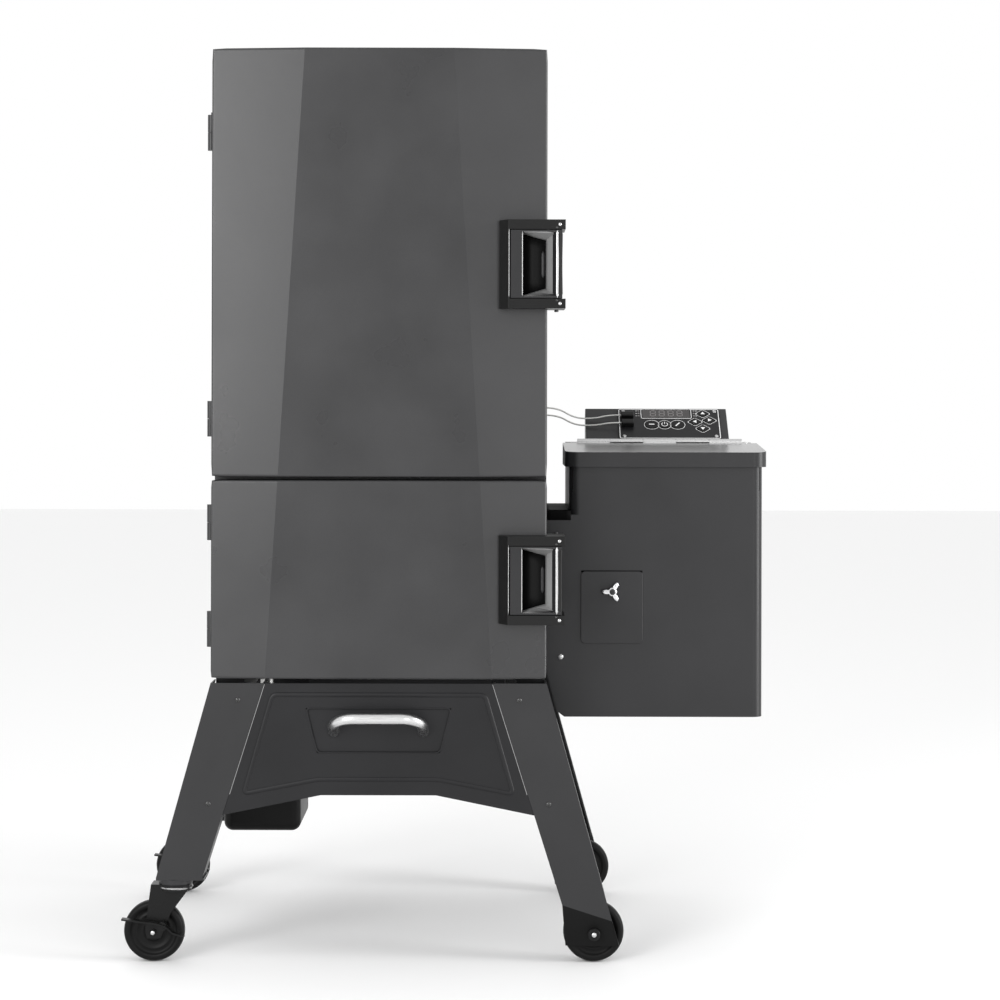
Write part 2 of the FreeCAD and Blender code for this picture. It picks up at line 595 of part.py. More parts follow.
def make_burner():
    """Fire pot under the end of the auger tube, with an igniter rod through its side."""
    length = width = FIRE_POT_SIZE
    x1 = AUGER_INNER_END + 34.0
    x0 = x1 - length
    y0 = AUGER_Y - width / 2
    z0 = INNER_BOTTOM + FIRE_POT_FEET
    height = AUGER_Z - AUGER_TUBE_RADIUS - 2.0 - z0
    pot = block(x0, x1, y0, y0 + width, z0, z0 + height)
    pot = pot.cut(block(x0 + 3, x1 - 3, y0 + 3, y0 + width - 3, z0 + 3, z0 + height + 1))
    air = [rod((x1 - 5, AUGER_Y + shift, z0 + 24), (x1 + 5, AUGER_Y + shift, z0 + 24), 4.0)
           for shift in (-24, -12, 0, 12, 24)]
    feet = [block(x, x + 8, y, y + 8, INNER_BOTTOM, z0) for x in (x0, x1 - 8) for y in (y0, y0 + width - 8)]
    igniter_z = z0 + 10
    igniter = rod((x0 + 30, AUGER_Y, igniter_z), (x1 + 22, AUGER_Y, igniter_z), 4.0)
    igniter_hole = rod((x1 - 5, AUGER_Y, igniter_z), (x1 + 30, AUGER_Y, igniter_z), 4.0)
    pot = fuse([pot.cut(air)] + feet).cut(igniter_hole)
    parts["fire_pot"] = group([pot, igniter])


# ---------------------------------------------------------------- auger and fan
MOTOR_LENGTH = 62.0
SHAFT_END_GAP = 1.0


def make_auger():
    """Pellet screw in its tube, driven by a gear motor at the outer end."""
    axis = (AUGER_Y, AUGER_Z)
    tube = rod((AUGER_INNER_END, *axis), (AUGER_OUTER_END, *axis), AUGER_TUBE_RADIUS)
    bore = rod((AUGER_INNER_END - 1, *axis), (AUGER_OUTER_END - 3, *axis),
               AUGER_TUBE_RADIUS - AUGER_TUBE_WALL)
    shaft_hole = rod((AUGER_OUTER_END - 5, *axis), (AUGER_OUTER_END + 1, *axis),
                     AUGER_SHAFT_RADIUS + SHAFT_CLEARANCE)
    inlet_x0, inlet_x1 = bin_outlet_x()
    inlet = block(inlet_x0, inlet_x1, AUGER_Y - 14, AUGER_Y + 14, AUGER_Z, AUGER_Z + 30)
    parts["auger_tube"] = tube.cut([bore, shaft_hole, inlet])

    shaft = rod((AUGER_INNER_END + 6, *axis), (AUGER_OUTER_END + 18, *axis), AUGER_SHAFT_RADIUS)
    flight_start, flight_end, pitch, thick = AUGER_INNER_END + 10, AUGER_OUTER_END - 12, 34.0, 3.0
    flights = []
    tilt = math.degrees(math.atan(pitch / (2 * math.pi * AUGER_FLIGHT_RADIUS)))
    turns = int((flight_end - flight_start) / pitch)
    # each half turn is a disc half, leaned one way and then the other
    for half_turn in range(2 * turns):
        x = flight_start + pitch / 4 + half_turn * pitch / 2
        disc = Part.makeCylinder(AUGER_FLIGHT_RADIUS, thick, Vector(x - thick / 2, *axis), Vector(1, 0, 0))
        keep = block(x - 20, x + 20, AUGER_Y - 30, AUGER_Y, AUGER_Z - 30, AUGER_Z + 30)
        lean = tilt
        if half_turn % 2:
            keep = block(x - 20, x + 20, AUGER_Y, AUGER_Y + 30, AUGER_Z - 30, AUGER_Z + 30)
            lean = -tilt
        disc.rotate(Vector(x, *axis), Vector(0, 1, 0), lean)
        flights.append(disc.common(keep))
    trim = rod((AUGER_INNER_END, *axis), (AUGER_OUTER_END - 4, *axis), AUGER_FLIGHT_RADIUS)
    flights = [flight.common(trim) for flight in flights]
    parts["auger_screw"] = fuse([shaft] + flights)

    start = AUGER_OUTER_END
    top = AUGER_Z + AUGER_TUBE_RADIUS - 2
    gearbox = block(start, start + 26, AUGER_Y - 32, AUGER_Y + 32, top - 68, top)
    gearbox = round_edges(gearbox, "x", 6.0)
    can = rod((start + 26, AUGER_Y, top - 38), (start + MOTOR_LENGTH, AUGER_Y, top - 38), 24.0)
    stub = rod((start - 1, *axis), (AUGER_OUTER_END + 18 + SHAFT_END_GAP, *axis),
               AUGER_SHAFT_RADIUS + SHAFT_CLEARANCE)
    parts["auger_motor"] = fuse([gearbox, can]).cut(stub)


def make_fan():
    """Axial fan in the neck that blows into the fire pot."""
    x0 = HALF_WIDTH
    x1 = x0 + 22.0
    half = FAN_RADIUS + 2.0
    frame = round_edges(block(x0, x1, AUGER_Y - half, AUGER_Y + half, FAN_Z - half, FAN_Z + half), "x", 4.0)
    frame = frame.cut(rod((x0 - 1, AUGER_Y, FAN_Z), (x1 + 1, AUGER_Y, FAN_Z), FAN_RADIUS))
    struts = [block(x1 - 3, x1, AUGER_Y - half + 1, AUGER_Y + half - 1, FAN_Z - 2, FAN_Z + 2),
              block(x1 - 3, x1, AUGER_Y - 2, AUGER_Y + 2, FAN_Z - half + 1, FAN_Z + half - 1)]
    axle = rod((x0 + 5, AUGER_Y, FAN_Z), (x1, AUGER_Y, FAN_Z), 2.0)
    parts["fan_housing"] = fuse([frame] + struts + [axle])

    hub = rod((x0 + 3, AUGER_Y, FAN_Z), (x1 - 4, AUGER_Y, FAN_Z), 9.0)
    blades = []
    for number in range(7):
        blade = block(x0 + 9.2, x0 + 10.8, AUGER_Y - 5, AUGER_Y + 5, FAN_Z + 7, FAN_Z + FAN_RADIUS - 1.5)
        blade.rotate(Vector(x0 + 10, AUGER_Y, FAN_Z), Vector(0, 0, 1), 35)
        blade.rotate(Vector(x0, AUGER_Y, FAN_Z), Vector(1, 0, 0), number * 360 / 7)
        blades.append(blade)
    bore = rod((x0 + 4, AUGER_Y, FAN_Z), (x1, AUGER_Y, FAN_Z), 2.0 + SHAFT_CLEARANCE)
    parts["fan_impeller"] = fuse([hub] + blades).cut(bore)


# ---------------------------------------------------------------- hopper
def lid_slope_z(y):
    """Height of the lid's top at a depth: a straight rise from its front edge to its hinge."""
    return LID_FRONT_TOP + LID_RISE * (y - LID_FRONT) / LID_LENGTH


def bin_outlet_x():
    middle = HOPPER_LEFT + 110.0
    return middle - 30, middle + 30


def make_hopper():
    """Folded pellet case with a neck to the cabinet, a fixed deck at the back, and a bin inside."""
    left, right = HOPPER_LEFT, HOPPER_RIGHT
    front, back = HOPPER_FRONT, HOPPER_BACK
    under_lid = LID_CLEARANCE + HOPPER_SHEET
    wall_split = LID_HINGE_Y + LID_KNUCKLE_RADIUS + 0.6
    side = [(front, HOPPER_BOTTOM), (back, HOPPER_BOTTOM), (back, DECK_TOP), (wall_split, DECK_TOP),
            (wall_split, DECK_TOP - 14.0), (LID_HINGE_Y - 6, lid_slope_z(LID_HINGE_Y - 6) - under_lid - 6),
            (front, lid_slope_z(front) - under_lid - 6)]
    case = round_edges(prism(side, "x", left, right), "z", HOPPER_CORNER)
    t = HOPPER_SHEET
    room_side = [(front + t, HOPPER_BOTTOM + t), (back - t, HOPPER_BOTTOM + t), (back - t, DECK_TOP - t),
                 (wall_split + t, DECK_TOP - t), (wall_split + t, DECK_TOP + 30), (front + t, DECK_TOP + 30)]
    room = round_edges(prism(room_side, "x", left + t, right - t), "z", HOPPER_CORNER - t,
                       lambda point: point.y < front + t + 1 or point.y > back - t - 1)
    lower_room = room.common(block(left, right, front, back, HOPPER_BOTTOM, DECK_TOP - t))
    case = case.cut([lower_room, block(left + t + 2, right - t - 2, front + t + 2, wall_split - 4,
                                       DECK_TOP - 60, DECK_TOP + 40)])

    # neck: a box from the cabinet's side, open at both ends, with a slanted lower front corner
    neck_x0, neck_x1 = HALF_WIDTH, left
    neck_plan = [(neck_x0, CABINET_BOTTOM + 9), (neck_x0 + NECK_CUT_RUN, HOPPER_BOTTOM + 6),
                 (neck_x0 + NECK_CUT_RUN + 8, HOPPER_BOTTOM), (neck_x1 + HOPPER_CORNER, HOPPER_BOTTOM),
                 (neck_x1 + HOPPER_CORNER, NECK_TOP), (neck_x0, NECK_TOP)]
    neck = prism(neck_plan, "y", front, back - 12)
    past = neck_x1 + HOPPER_CORNER + 1
    inner_plan = [(neck_x0 - 1, CABINET_BOTTOM + 12), (neck_x0 + NECK_CUT_RUN + 2, HOPPER_BOTTOM + 8),
                  (neck_x0 + NECK_CUT_RUN + 9, HOPPER_BOTTOM + t), (past, HOPPER_BOTTOM + t),
                  (past, NECK_TOP - t), (neck_x0 - 1, NECK_TOP - t)]
    neck_room = prism(inner_plan, "y", front + t, back - 12 - t)
    neck = neck.cut([neck_room, lower_room])
    case = case.cut(neck_room)
    case = fuse([case, neck])

    x0 = left + COVER_FROM_LEFT
    z1 = LID_FRONT_TOP - COVER_BELOW_TOP
    window = block(x0 + 6, x0 + COVER_WIDTH - 6, front - 1, front + t + 1, z1 - COVER_HEIGHT + 6, z1 - 6)
    case = case.cut(window)

    inlet_x, inlet_z = right - 60.0, HOPPER_BOTTOM + 45.0
    inlet = block(inlet_x - 15, inlet_x + 15, back, back + 4, inlet_z - 12, inlet_z + 12)
    inlet = inlet.cut(block(inlet_x - 11, inlet_x + 11, back + 1, back + 5, inlet_z - 8, inlet_z + 8))
    prongs = [block(inlet_x + shift - 1, inlet_x + shift + 1, back + 1, back + 4, inlet_z - 3, inlet_z + 3)
              for shift in (-6, 0, 6)]
    parts["hopper_housing"] = group([case, fuse([inlet] + prongs)] + lid_hinge_fixed())

    make_bin(left, right, front, back)


def make_bin(left, right, front, back):
    """Pellet bin: straight walls under the lid, then a funnel down to the auger tube."""
    gap, t = 6.0, HOPPER_SHEET
    rim_z = LID_FRONT_TOP - 14.0
    waist_z = rim_z - 70.0
    foot_z = AUGER_Z + AUGER_TUBE_RADIUS + 0.5
    x0, x1 = left + gap, right - gap
    y0, y1 = front + gap, back - gap
    out_x0, out_x1 = bin_outlet_x()

    def funnel(inset, top, bottom):
        loops = []
        for z, (a0, a1), (b0, b1) in ((waist_z, (x0, x1), (y0, y1)),
                                      (foot_z, (out_x0, out_x1), (AUGER_Y - 14, AUGER_Y + 14))):
            points = [Vector(a0 + inset, b0 + inset, z), Vector(a1 - inset, b0 + inset, z),
                      Vector(a1 - inset, b1 - inset, z), Vector(a0 + inset, b1 - inset, z)]
            loops.append(Part.makePolygon(points + points[:1]))
        body = Part.makeLoft(loops, True, True)
        straight = block(x0 + inset, x1 - inset, y0 + inset, y1 - inset, waist_z, rim_z + top)
        throat = block(out_x0 + inset, out_x1 - inset, AUGER_Y - 14 + inset, AUGER_Y + 14 - inset,
                       foot_z - bottom, foot_z + 1)
        return fuse([body, straight, throat])

    flange = round_edges(block(left + t, right - t, front + t, back - t, rim_z - t, rim_z), "z",
                         HOPPER_CORNER - t)
    parts["hopper_bin"] = fuse([funnel(0, 0, 2.7), flange]).cut(funnel(t, 1, 4))


KNUCKLE_COUNT = 5


def lid_knuckle_spans():
    """Five equal knuckles across the lid: the deck has the second and fourth."""
    start, end = HOPPER_LEFT + 14.0, HOPPER_RIGHT - 14.0
    length = (end - start) / KNUCKLE_COUNT
    return [(start + number * length + MOVING_GAP / 2, start + (number + 1) * length - MOVING_GAP / 2)
            for number in range(KNUCKLE_COUNT)]


def lid_hinge_fixed():
    """The deck's knuckles, joined to it by a leaf, and the pin that runs through all five."""
    y, z = LID_HINGE_Y, LID_HINGE_Z
    leaf_end = y + LID_KNUCKLE_RADIUS + 1.8
    solids = []
    for number, (x0, x1) in enumerate(lid_knuckle_spans()):
        if number % 2:
            knuckle = rod((x0, y, z), (x1, y, z), LID_KNUCKLE_RADIUS)
            leaf = block(x0, x1, y, leaf_end, DECK_TOP, DECK_TOP + 1.2)
            hole = rod((x0 - 1, y, z), (x1 + 1, y, z), LID_PIN_RADIUS)
            solids.append(fuse([knuckle, leaf]).cut(hole))
    spans = lid_knuckle_spans()
    solids.append(rod((spans[0][0], y, z), (spans[-1][1], y, z), LID_PIN_RADIUS))
    return solids


def make_lid():
    """Sloped sheet lid with a skirt on three sides and its hinge knuckles."""
    x0, x1 = HOPPER_LEFT - LID_OVERHANG, HOPPER_RIGHT + LID_OVERHANG
    back = LID_HINGE_Y - LID_KNUCKLE_RADIUS - MOVING_GAP
    skirt_z = LID_FRONT_TOP - LID_SKIRT
    side = [(LID_FRONT, skirt_z), (back, skirt_z), (back, lid_slope_z(back)), (LID_FRONT, LID_FRONT_TOP)]
    lid = round_edges(prism(side, "x", x0, x1), "z", HOPPER_CORNER + LID_OVERHANG,
                      lambda point: point.y < LID_FRONT + 1)
    t = HOPPER_SHEET
    inner_side = [(LID_FRONT + t, skirt_z - 1), (back + 1, skirt_z - 1), (back + 1, lid_slope_z(back) - t),
                  (LID_FRONT + t, lid_slope_z(LID_FRONT + t) - t)]
    inner = round_edges(prism(inner_side, "x", x0 + t, x1 - t), "z", HOPPER_CORNER + LID_OVERHANG - t,
                        lambda point: point.y < LID_FRONT + t + 1)
    lid = lid.cut(inner)
    y, z = LID_HINGE_Y, LID_HINGE_Z
    knuckles = []
    for number, (k0, k1) in enumerate(lid_knuckle_spans()):
        if number % 2 == 0:
            knuckles.append(rod((k0, y, z), (k1, y, z), LID_KNUCKLE_RADIUS))
            knuckles.append(block(k0, k1, back - 1, y, lid_slope_z(back) - t, lid_slope_z(back) + 1))
    lid = fuse([lid] + knuckles)
    spans = lid_knuckle_spans()
    bore = rod((spans[0][0] - 1, y, z), (spans[-1][1] + 1, y, z), LID_PIN_RADIUS + SHAFT_CLEARANCE)
    parts["hopper_lid"] = lid.cut(bore)


def cover_blank():
    """The access cover's plate, a hair in front of the hopper."""
    x0 = HOPPER_LEFT + COVER_FROM_LEFT
    z1 = LID_FRONT_TOP - COVER_BELOW_TOP
    return block(x0, x0 + COVER_WIDTH, HOPPER_FRONT - COVER_THICKNESS - MOVING_GAP, HOPPER_FRONT - MOVING_GAP,
                 z1 - COVER_HEIGHT, z1)


def make_access_cover():
    """Clean-out cover that a three-lobed knob holds on the hopper's front."""
    x0 = HOPPER_LEFT + COVER_FROM_LEFT
    z1 = LID_FRONT_TOP - COVER_BELOW_TOP
    plate = round_edges(cover_blank(), "y", 5.5)
    knob_x, knob_z = x0 + KNOB_FROM_LEFT, z1 - KNOB_BELOW_TOP
    stud_front = HOPPER_FRONT - 13.0
    stud = rod((knob_x, stud_front, knob_z), (knob_x, HOPPER_FRONT - 1, knob_z), 2.5)
    parts["access_cover"] = fuse([plate, stud])

    back = HOPPER_FRONT - COVER_THICKNESS - 2 * MOVING_GAP
    front = back - 9.0
    hub = rod((knob_x, front, knob_z), (knob_x, back, knob_z), 6.0)
    lobes = []
    for angle in (180, 60, -60):
        a = math.radians(angle)
        tip_x, tip_z = knob_x + 10.2 * math.cos(a), knob_z + 10.2 * math.sin(a)
        lobes.append(rod((tip_x, front + 2, tip_z), (tip_x, back - 1, tip_z), 3.2))
        arm = block(knob_x, knob_x + 10.2, front + 2, back - 1, knob_z - 2.8, knob_z + 2.8)
        arm.rotate(Vector(knob_x, 0, knob_z), Vector(0, 1, 0), -angle)
        lobes.append(arm)
    bore = rod((knob_x, front - 1, knob_z), (knob_x, back + 1, knob_z), 2.5 + SHAFT_CLEARANCE)
    parts["access_knob"] = fuse([hub] + lobes).cut(bore)
    return knob_x, knob_z


# ---------------------------------------------------------------- controller
def face_point(across, up, out=0.0):
    """A place on the controller's slanted face."""
    corner = Vector(CONTROLLER_LEFT, CONTROLLER_FRONT, DECK_TOP)
    return corner + Vector(across, 0, 0) + FACE_UP * up + FACE_OUT * out


def on_face(shape, across, up, out=0.0):
    """Moves a shape drawn flat (X across, Y up, Z outward) on to the slanted face."""
    turned = shape.copy()
    rotation = Rotation(Vector(1, 0, 0), 90 - CONTROLLER_TILT)
    turned.Placement = FreeCAD.Placement(face_point(across, up, out), rotation)
    return turned


def rounded_key(width, height, radius, depth):
    key = block(-width / 2, width / 2, -height / 2, height / 2, 0, depth)
    return round_edges(key, "z", radius)


def diamond_key(width, height, radius, depth):
    outline = [(-width / 2, 0), (0, -height / 2), (width / 2, 0), (0, height / 2)]
    key = prism(outline, "z", 0, depth)
    upright = [edge for edge in key.Edges if abs(edge.Vertexes[0].X - edge.Vertexes[1].X) < 1e-6
               and abs(edge.Vertexes[0].Y - edge.Vertexes[1].Y) < 1e-6]
    return key.makeFillet(radius, upright)


MODE_KEYS = {"key_set": (-17.6, 17.0, 15.0, 7.0), "key_power": (0.0, 14.6, 14.6, 7.2),
             "key_probe": (17.6, 17.0, 15.0, 7.0)}        # offset, width, height, corner radius
MODE_KEYS_PLACE = (107.0, 33.5)
ARROW_KEYS = {"key_up": (1.5, 15.5), "key_down": (0.0, -15.5),
              "key_left": (-9.8, -1.6), "key_right": (9.8, 1.6)}
ARROW_KEYS_PLACE = (158.5, 41.0)
ARROW_SIZE = (18.0, 14.5)


def key_shapes(grow, depth):
    """Every key's outline, grown by a clearance, with its place on the face."""
    shapes = {}
    for name, (offset, width, height, radius) in MODE_KEYS.items():
        shape = rounded_key(width + 2 * grow, height + 2 * grow, radius + grow, depth)
        shapes[name] = (shape, MODE_KEYS_PLACE[0] + offset, MODE_KEYS_PLACE[1])
    for name, (across, up) in ARROW_KEYS.items():
        shape = diamond_key(ARROW_SIZE[0] + 2.6 * grow, ARROW_SIZE[1] + 2.6 * grow, 2.6, depth)
        shapes[name] = (shape, ARROW_KEYS_PLACE[0] + across, ARROW_KEYS_PLACE[1] + up)
    return shapes


def make_controller():
    """Wedge box on the deck with a faceplate, seven sprung keys and two probe plugs."""
    foot, top = face_point(0, 0), face_point(0, CONTROLLER_FACE)
    back = top.y + CONTROLLER_BACK
    side = [(foot.y, foot.z), (back, foot.z), (back, top.z - CONTROLLER_BACK * 0.8), (top.y, top.z)]
    box = prism(side, "x", CONTROLLER_LEFT, CONTROLLER_LEFT + CONTROLLER_WIDTH)
    parts["controller_box"] = box

    up0 = (CONTROLLER_FACE - FACEPLATE_HEIGHT) / 2
    plate = rounded_key(FACEPLATE_WIDTH, FACEPLATE_HEIGHT, 3.0, FACEPLATE_THICKNESS)
    plate = on_face(plate, FACEPLATE_LEFT + FACEPLATE_WIDTH / 2, up0 + FACEPLATE_HEIGHT / 2)
    display = on_face(rounded_key(66.0, 19.0, 2.5, 5.0), 110.0, 57.5, FACEPLATE_THICKNESS - 0.8)
    pockets = [on_face(shape, across, up, -1.0)
               for shape, across, up in key_shapes(KEY_CLEARANCE, FACEPLATE_THICKNESS + 2).values()]
    pockets = [pocket.common(on_face(block(-200, 200, -200, 200, 0, 9), 0, 0)) for pocket in pockets]
    parts["faceplate"] = plate.cut([display] + pockets)

    start = FACEPLATE_THICKNESS - KEY_DEPTH
    for name, (shape, across, up) in key_shapes(0.0, KEY_DEPTH + KEY_PROUD).items():
        parts[name] = on_face(shape, across, up, start)

    plugs = []
    for up in PLUG_HEIGHTS:
        body = round_edges(block(0, PLUG_LENGTH, -4.5, 4.5, 0, 8.5), "x", 2.0)
        plugs.append(on_face(body, PLUG_START, up, FACEPLATE_THICKNESS))
    parts["probe_plugs"] = group(plugs)


PLUG_START = 48.0


# ---------------------------------------------------------------- probe cables
def cable_routes():
    """Points along each probe cable, from its plug to the cabinet's port."""
    port_face = HALF_WIDTH + PORT_FLANGE
    port_z = CABINET_BOTTOM + PORT_HEIGHT
    routes = {}
    for name, up, port_rise, sag in (("probe_cable_lower", PLUG_HEIGHTS[0], -5.0, 4.0),
                                     ("probe_cable_upper", PLUG_HEIGHTS[1], 5.0, 5.0)):
        plug = face_point(PLUG_START, up, FACEPLATE_THICKNESS + 4.2)
        entry = Vector(port_face, PORT_BACK + port_rise / 3, port_z + port_rise)
        run = entry - plug
        routes[name] = [plug, plug + Vector(-16.0, 0, 0),
                        plug + Vector(run.x * 0.36, run.y * 0.18, -sag),
                        plug + Vector(run.x * 0.62, run.y * 0.50, -0.8 * sag),
                        entry + Vector(17.0, 0, 0), entry]
    return routes


def cable_tube(name, route, radius):
    """A round cable: straight runs joined by arcs as large as the runs allow."""
    edges, start = [], route[0]
    for before, corner, after in zip(route, route[1:], route[2:]):
        into, out = corner - before, after - corner
        half_turn = into.getAngle(out) / 2
        setback = 0.45 * min(into.Length, out.Length)
        print("%s bend radius %.1f" % (name, setback / math.tan(half_turn)))
        a, b = corner - into.normalize() * setback, corner + out.normalize() * setback
        toward = (a + b) * 0.5 - corner
        bend = setback / math.tan(half_turn)
        reach = bend / math.cos(half_turn) - bend
        middle = corner + toward.normalize() * reach
        edges += [Part.LineSegment(start, a).toShape(), Part.Arc(a, middle, b).toShape()]
        start = b
    edges.append(Part.LineSegment(start, route[-1]).toShape())
    path = Part.Wire(edges)
    section = Part.Wire(Part.makeCircle(radius, route[0], route[1] - route[0]))
    tube = path.makePipeShell([section], True, False)
    print("%s length %.1f, volume against section times length %.4f"
          % (name, path.Length, tube.Volume / (math.pi * radius ** 2 * path.Length)))
    return tube


def make_cables():
    for name, route in cable_routes().items():
        parts[name] = cable_tube(name, route, CABLE_RADIUS)
    flange = port_bore(PORT_FLANGE_RADIUS, HALF_WIDTH, HALF_WIDTH + PORT_FLANGE)
    sleeve = port_bore(PORT_RADIUS, INNER_HALF - 3, HALF_WIDTH)
    parts["probe_port"] = fuse([flange, sleeve])


# ---------------------------------------------------------------- stand
def leg_x(slope, top_x, z):
    """Sideways place of a leg's edge at a height."""
    return top_x + slope * (STAND_TOP - z)


def leg_outline(bottom, shrink=0.0, over=0.0):
    outer_top, inner_top = HALF_WIDTH - shrink, HALF_WIDTH - LEG_TOP_WIDTH + shrink
    top, low = STAND_TOP + over, bottom - over
    return [(leg_x(LEG_INNER_SLOPE, inner_top, top), top), (leg_x(LEG_OUTER_SLOPE, outer_top, top), top),
            (leg_x(LEG_OUTER_SLOPE, outer_top, low), low), (leg_x(LEG_INNER_SLOPE, inner_top, low), low)]


def leg_channel(bottom):
    """A sheet face with its two sides folded back, open behind."""
    channel = prism(leg_outline(bottom), "y", STAND_FACE, LEG_BACK)
    hollow = prism(leg_outline(bottom, LEG_SHEET, 5), "y", STAND_FACE + LEG_SHEET, LEG_BACK + 1)
    return channel.cut(hollow)


FOOT_CREASE_Z = (WHEEL_RADIUS + 36.0, WHEEL_RADIUS + 16.0)   # inner and outer end of the crease
FOOT_BOTTOM_Z = WHEEL_RADIUS - 17.0
FOOT_TILT = 10.0
FLANGE_END_Z = 2 * WHEEL_RADIUS + 8.0     # side flanges stop above the fixed wheels


def fixed_leg():
    """Right leg: a channel with a foot facet that leans back in front of the wheel."""
    channel = leg_channel(FLANGE_END_Z)
    inner_top, outer_top = HALF_WIDTH - LEG_TOP_WIDTH, HALF_WIDTH
    inner_crease = (leg_x(LEG_INNER_SLOPE, inner_top, FOOT_CREASE_Z[0]), FOOT_CREASE_Z[0])
    outer_crease = (leg_x(LEG_OUTER_SLOPE, outer_top, FOOT_CREASE_Z[1]), FOOT_CREASE_Z[1])
    flange_end = [(leg_x(LEG_INNER_SLOPE, inner_top, FLANGE_END_Z), FLANGE_END_Z),
                  (leg_x(LEG_OUTER_SLOPE, outer_top, FLANGE_END_Z), FLANGE_END_Z)]
    face_end = prism(flange_end + [outer_crease, inner_crease], "y", STAND_FACE, STAND_FACE + LEG_SHEET)
    foot = prism([inner_crease, outer_crease,
                  (leg_x(LEG_OUTER_SLOPE, outer_top, FOOT_BOTTOM_Z), FOOT_BOTTOM_Z),
                  (inner_crease[0] + 4, FOOT_BOTTOM_Z)], "y", STAND_FACE, STAND_FACE + LEG_SHEET)
    crease = Vector(outer_crease[0] - inner_crease[0], 0, outer_crease[1] - inner_crease[1])
    hinge_line = Vector(inner_crease[0], STAND_FACE, inner_crease[1])
    foot.rotate(hinge_line, crease, FOOT_TILT)
    hidden_y = FIXED_WHEEL_Y + WHEEL_WIDTH / 2 + 2.5
    tab_z = 2 * WHEEL_RADIUS + 24.0
    x0 = leg_x(LEG_INNER_SLOPE, inner_top, tab_z) + 1
    hub_x, hub_z = FIXED_WHEEL_X, WHEEL_RADIUS
    bracket = prism([(x0, tab_z + 18), (x0 + 46, tab_z + 18), (hub_x + 13, hub_z + 4), (hub_x + 8, hub_z - 12),
                     (hub_x - 12, hub_z - 12)], "y", hidden_y, hidden_y + LEG_SHEET)
    tabs = block(x0 - 2, x0 + 30, STAND_FACE + LEG_SHEET, hidden_y + LEG_SHEET, tab_z, tab_z + 2)
    leg = fuse([channel, face_end, foot, bracket, tabs])
    bolt_hole = rod((hub_x, STAND_FACE - 1, hub_z), (hub_x, LEG_BACK + 5, hub_z), AXLE_RADIUS)
    return leg.cut(bolt_hole)


def caster_leg(outboard):
    """Left leg, drawn at the right: a channel closed below by a foot plate with the caster's race."""
    bottom = CASTER_HEIGHT
    channel = leg_channel(bottom)
    inner = leg_x(LEG_INNER_SLOPE, HALF_WIDTH - LEG_TOP_WIDTH, bottom)
    outer = leg_x(LEG_OUTER_SLOPE, HALF_WIDTH, bottom)
    plate = block(inner - 2, outer + outboard, STAND_FACE, LEG_BACK, bottom - 3, bottom)
    x = CASTER_X + outboard
    race = rod((x, CASTER_Y, bottom - 9), (x, CASTER_Y, bottom - 3), CASTER_RACE_RADIUS)
    king_pin = rod((x, CASTER_Y, bottom - 22), (x, CASTER_Y, bottom - 3), KING_PIN_RADIUS)
    head = rod((x, CASTER_Y, bottom - 22), (x, CASTER_Y, bottom - 18.5), 8.0)
    return mirrored_left(fuse([channel, plate, race, king_pin, head]))


def make_stand():
    """Four channel legs, a pressed front panel, a plain back panel and side rails."""
    front_right, front_left = fixed_leg(), caster_leg(0.0)
    parts["legs"] = group([front_right, mirrored_back(front_right), front_left,
                           mirrored_back(caster_leg(REAR_CASTER_OUTBOARD))])
    parts["front_panel"] = stand_panel(True)
    rear = mirrored_back(stand_panel(False))
    rails = []
    for side in (-1, 1):
        x0, x1 = sorted((side * (HALF_WIDTH - 2), side * (HALF_WIDTH - 2 - RAIL_WIDTH)))
        rail = block(x0, x1, LEG_BACK, CABINET_DEPTH - LEG_DEPTH,
                     CABINET_BOTTOM - RAIL_HEIGHT, CABINET_BOTTOM)
        rails.append(rail)
    parts["stand_rails"] = group([rear] + rails + bucket_runners())


def panel_outline(lift):
    """Half outline of a stand panel on the right, from the top to the middle of the arch."""
    top_x = HALF_WIDTH - LEG_TOP_WIDTH
    corner_z = STAND_TOP - PANEL_CORNER_DROP + lift
    arch_z = STAND_TOP - PANEL_ARCH_DROP + lift
    return [(top_x, STAND_TOP), (leg_x(LEG_INNER_SLOPE, top_x, corner_z), corner_z),
            (PANEL_ARCH_HALF, arch_z)]


def full_outline(half):
    return half + [(-x, z) for x, z in reversed(half)]


def stand_panel(with_pocket):
    """Sheet panel between two legs, arched below, with its lower edge turned back."""
    back = STAND_FACE + PANEL_RETURN
    panel = prism(full_outline(panel_outline(0.0)), "y", STAND_FACE, back)
    half = panel_outline(PANEL_SHEET)
    half = [(half[0][0] + 40, half[0][1] + 5), (half[1][0] + 60, half[1][1] - 60 / 4.8)] + half[2:]
    panel = panel.cut(prism(full_outline(half), "y", STAND_FACE + PANEL_SHEET, back + 1))
    if with_pocket:
        floor = STAND_FACE + POCKET_DEPTH
        outside = prism(pocket_outline(PANEL_SHEET), "y", STAND_FACE, floor + PANEL_SHEET)
        panel = fuse([panel, outside]).cut(prism(pocket_outline(0.0), "y", STAND_FACE - 1, floor))
    return panel


def pocket_outline(grow):
    top, bottom = STAND_TOP - POCKET_TOP_DROP + grow, STAND_TOP - POCKET_BOTTOM_DROP - grow
    return [(-POCKET_TOP_HALF - grow, top), (POCKET_TOP_HALF + grow, top),
            (POCKET_BOTTOM_HALF + grow, bottom), (-POCKET_BOTTOM_HALF - grow, bottom)]


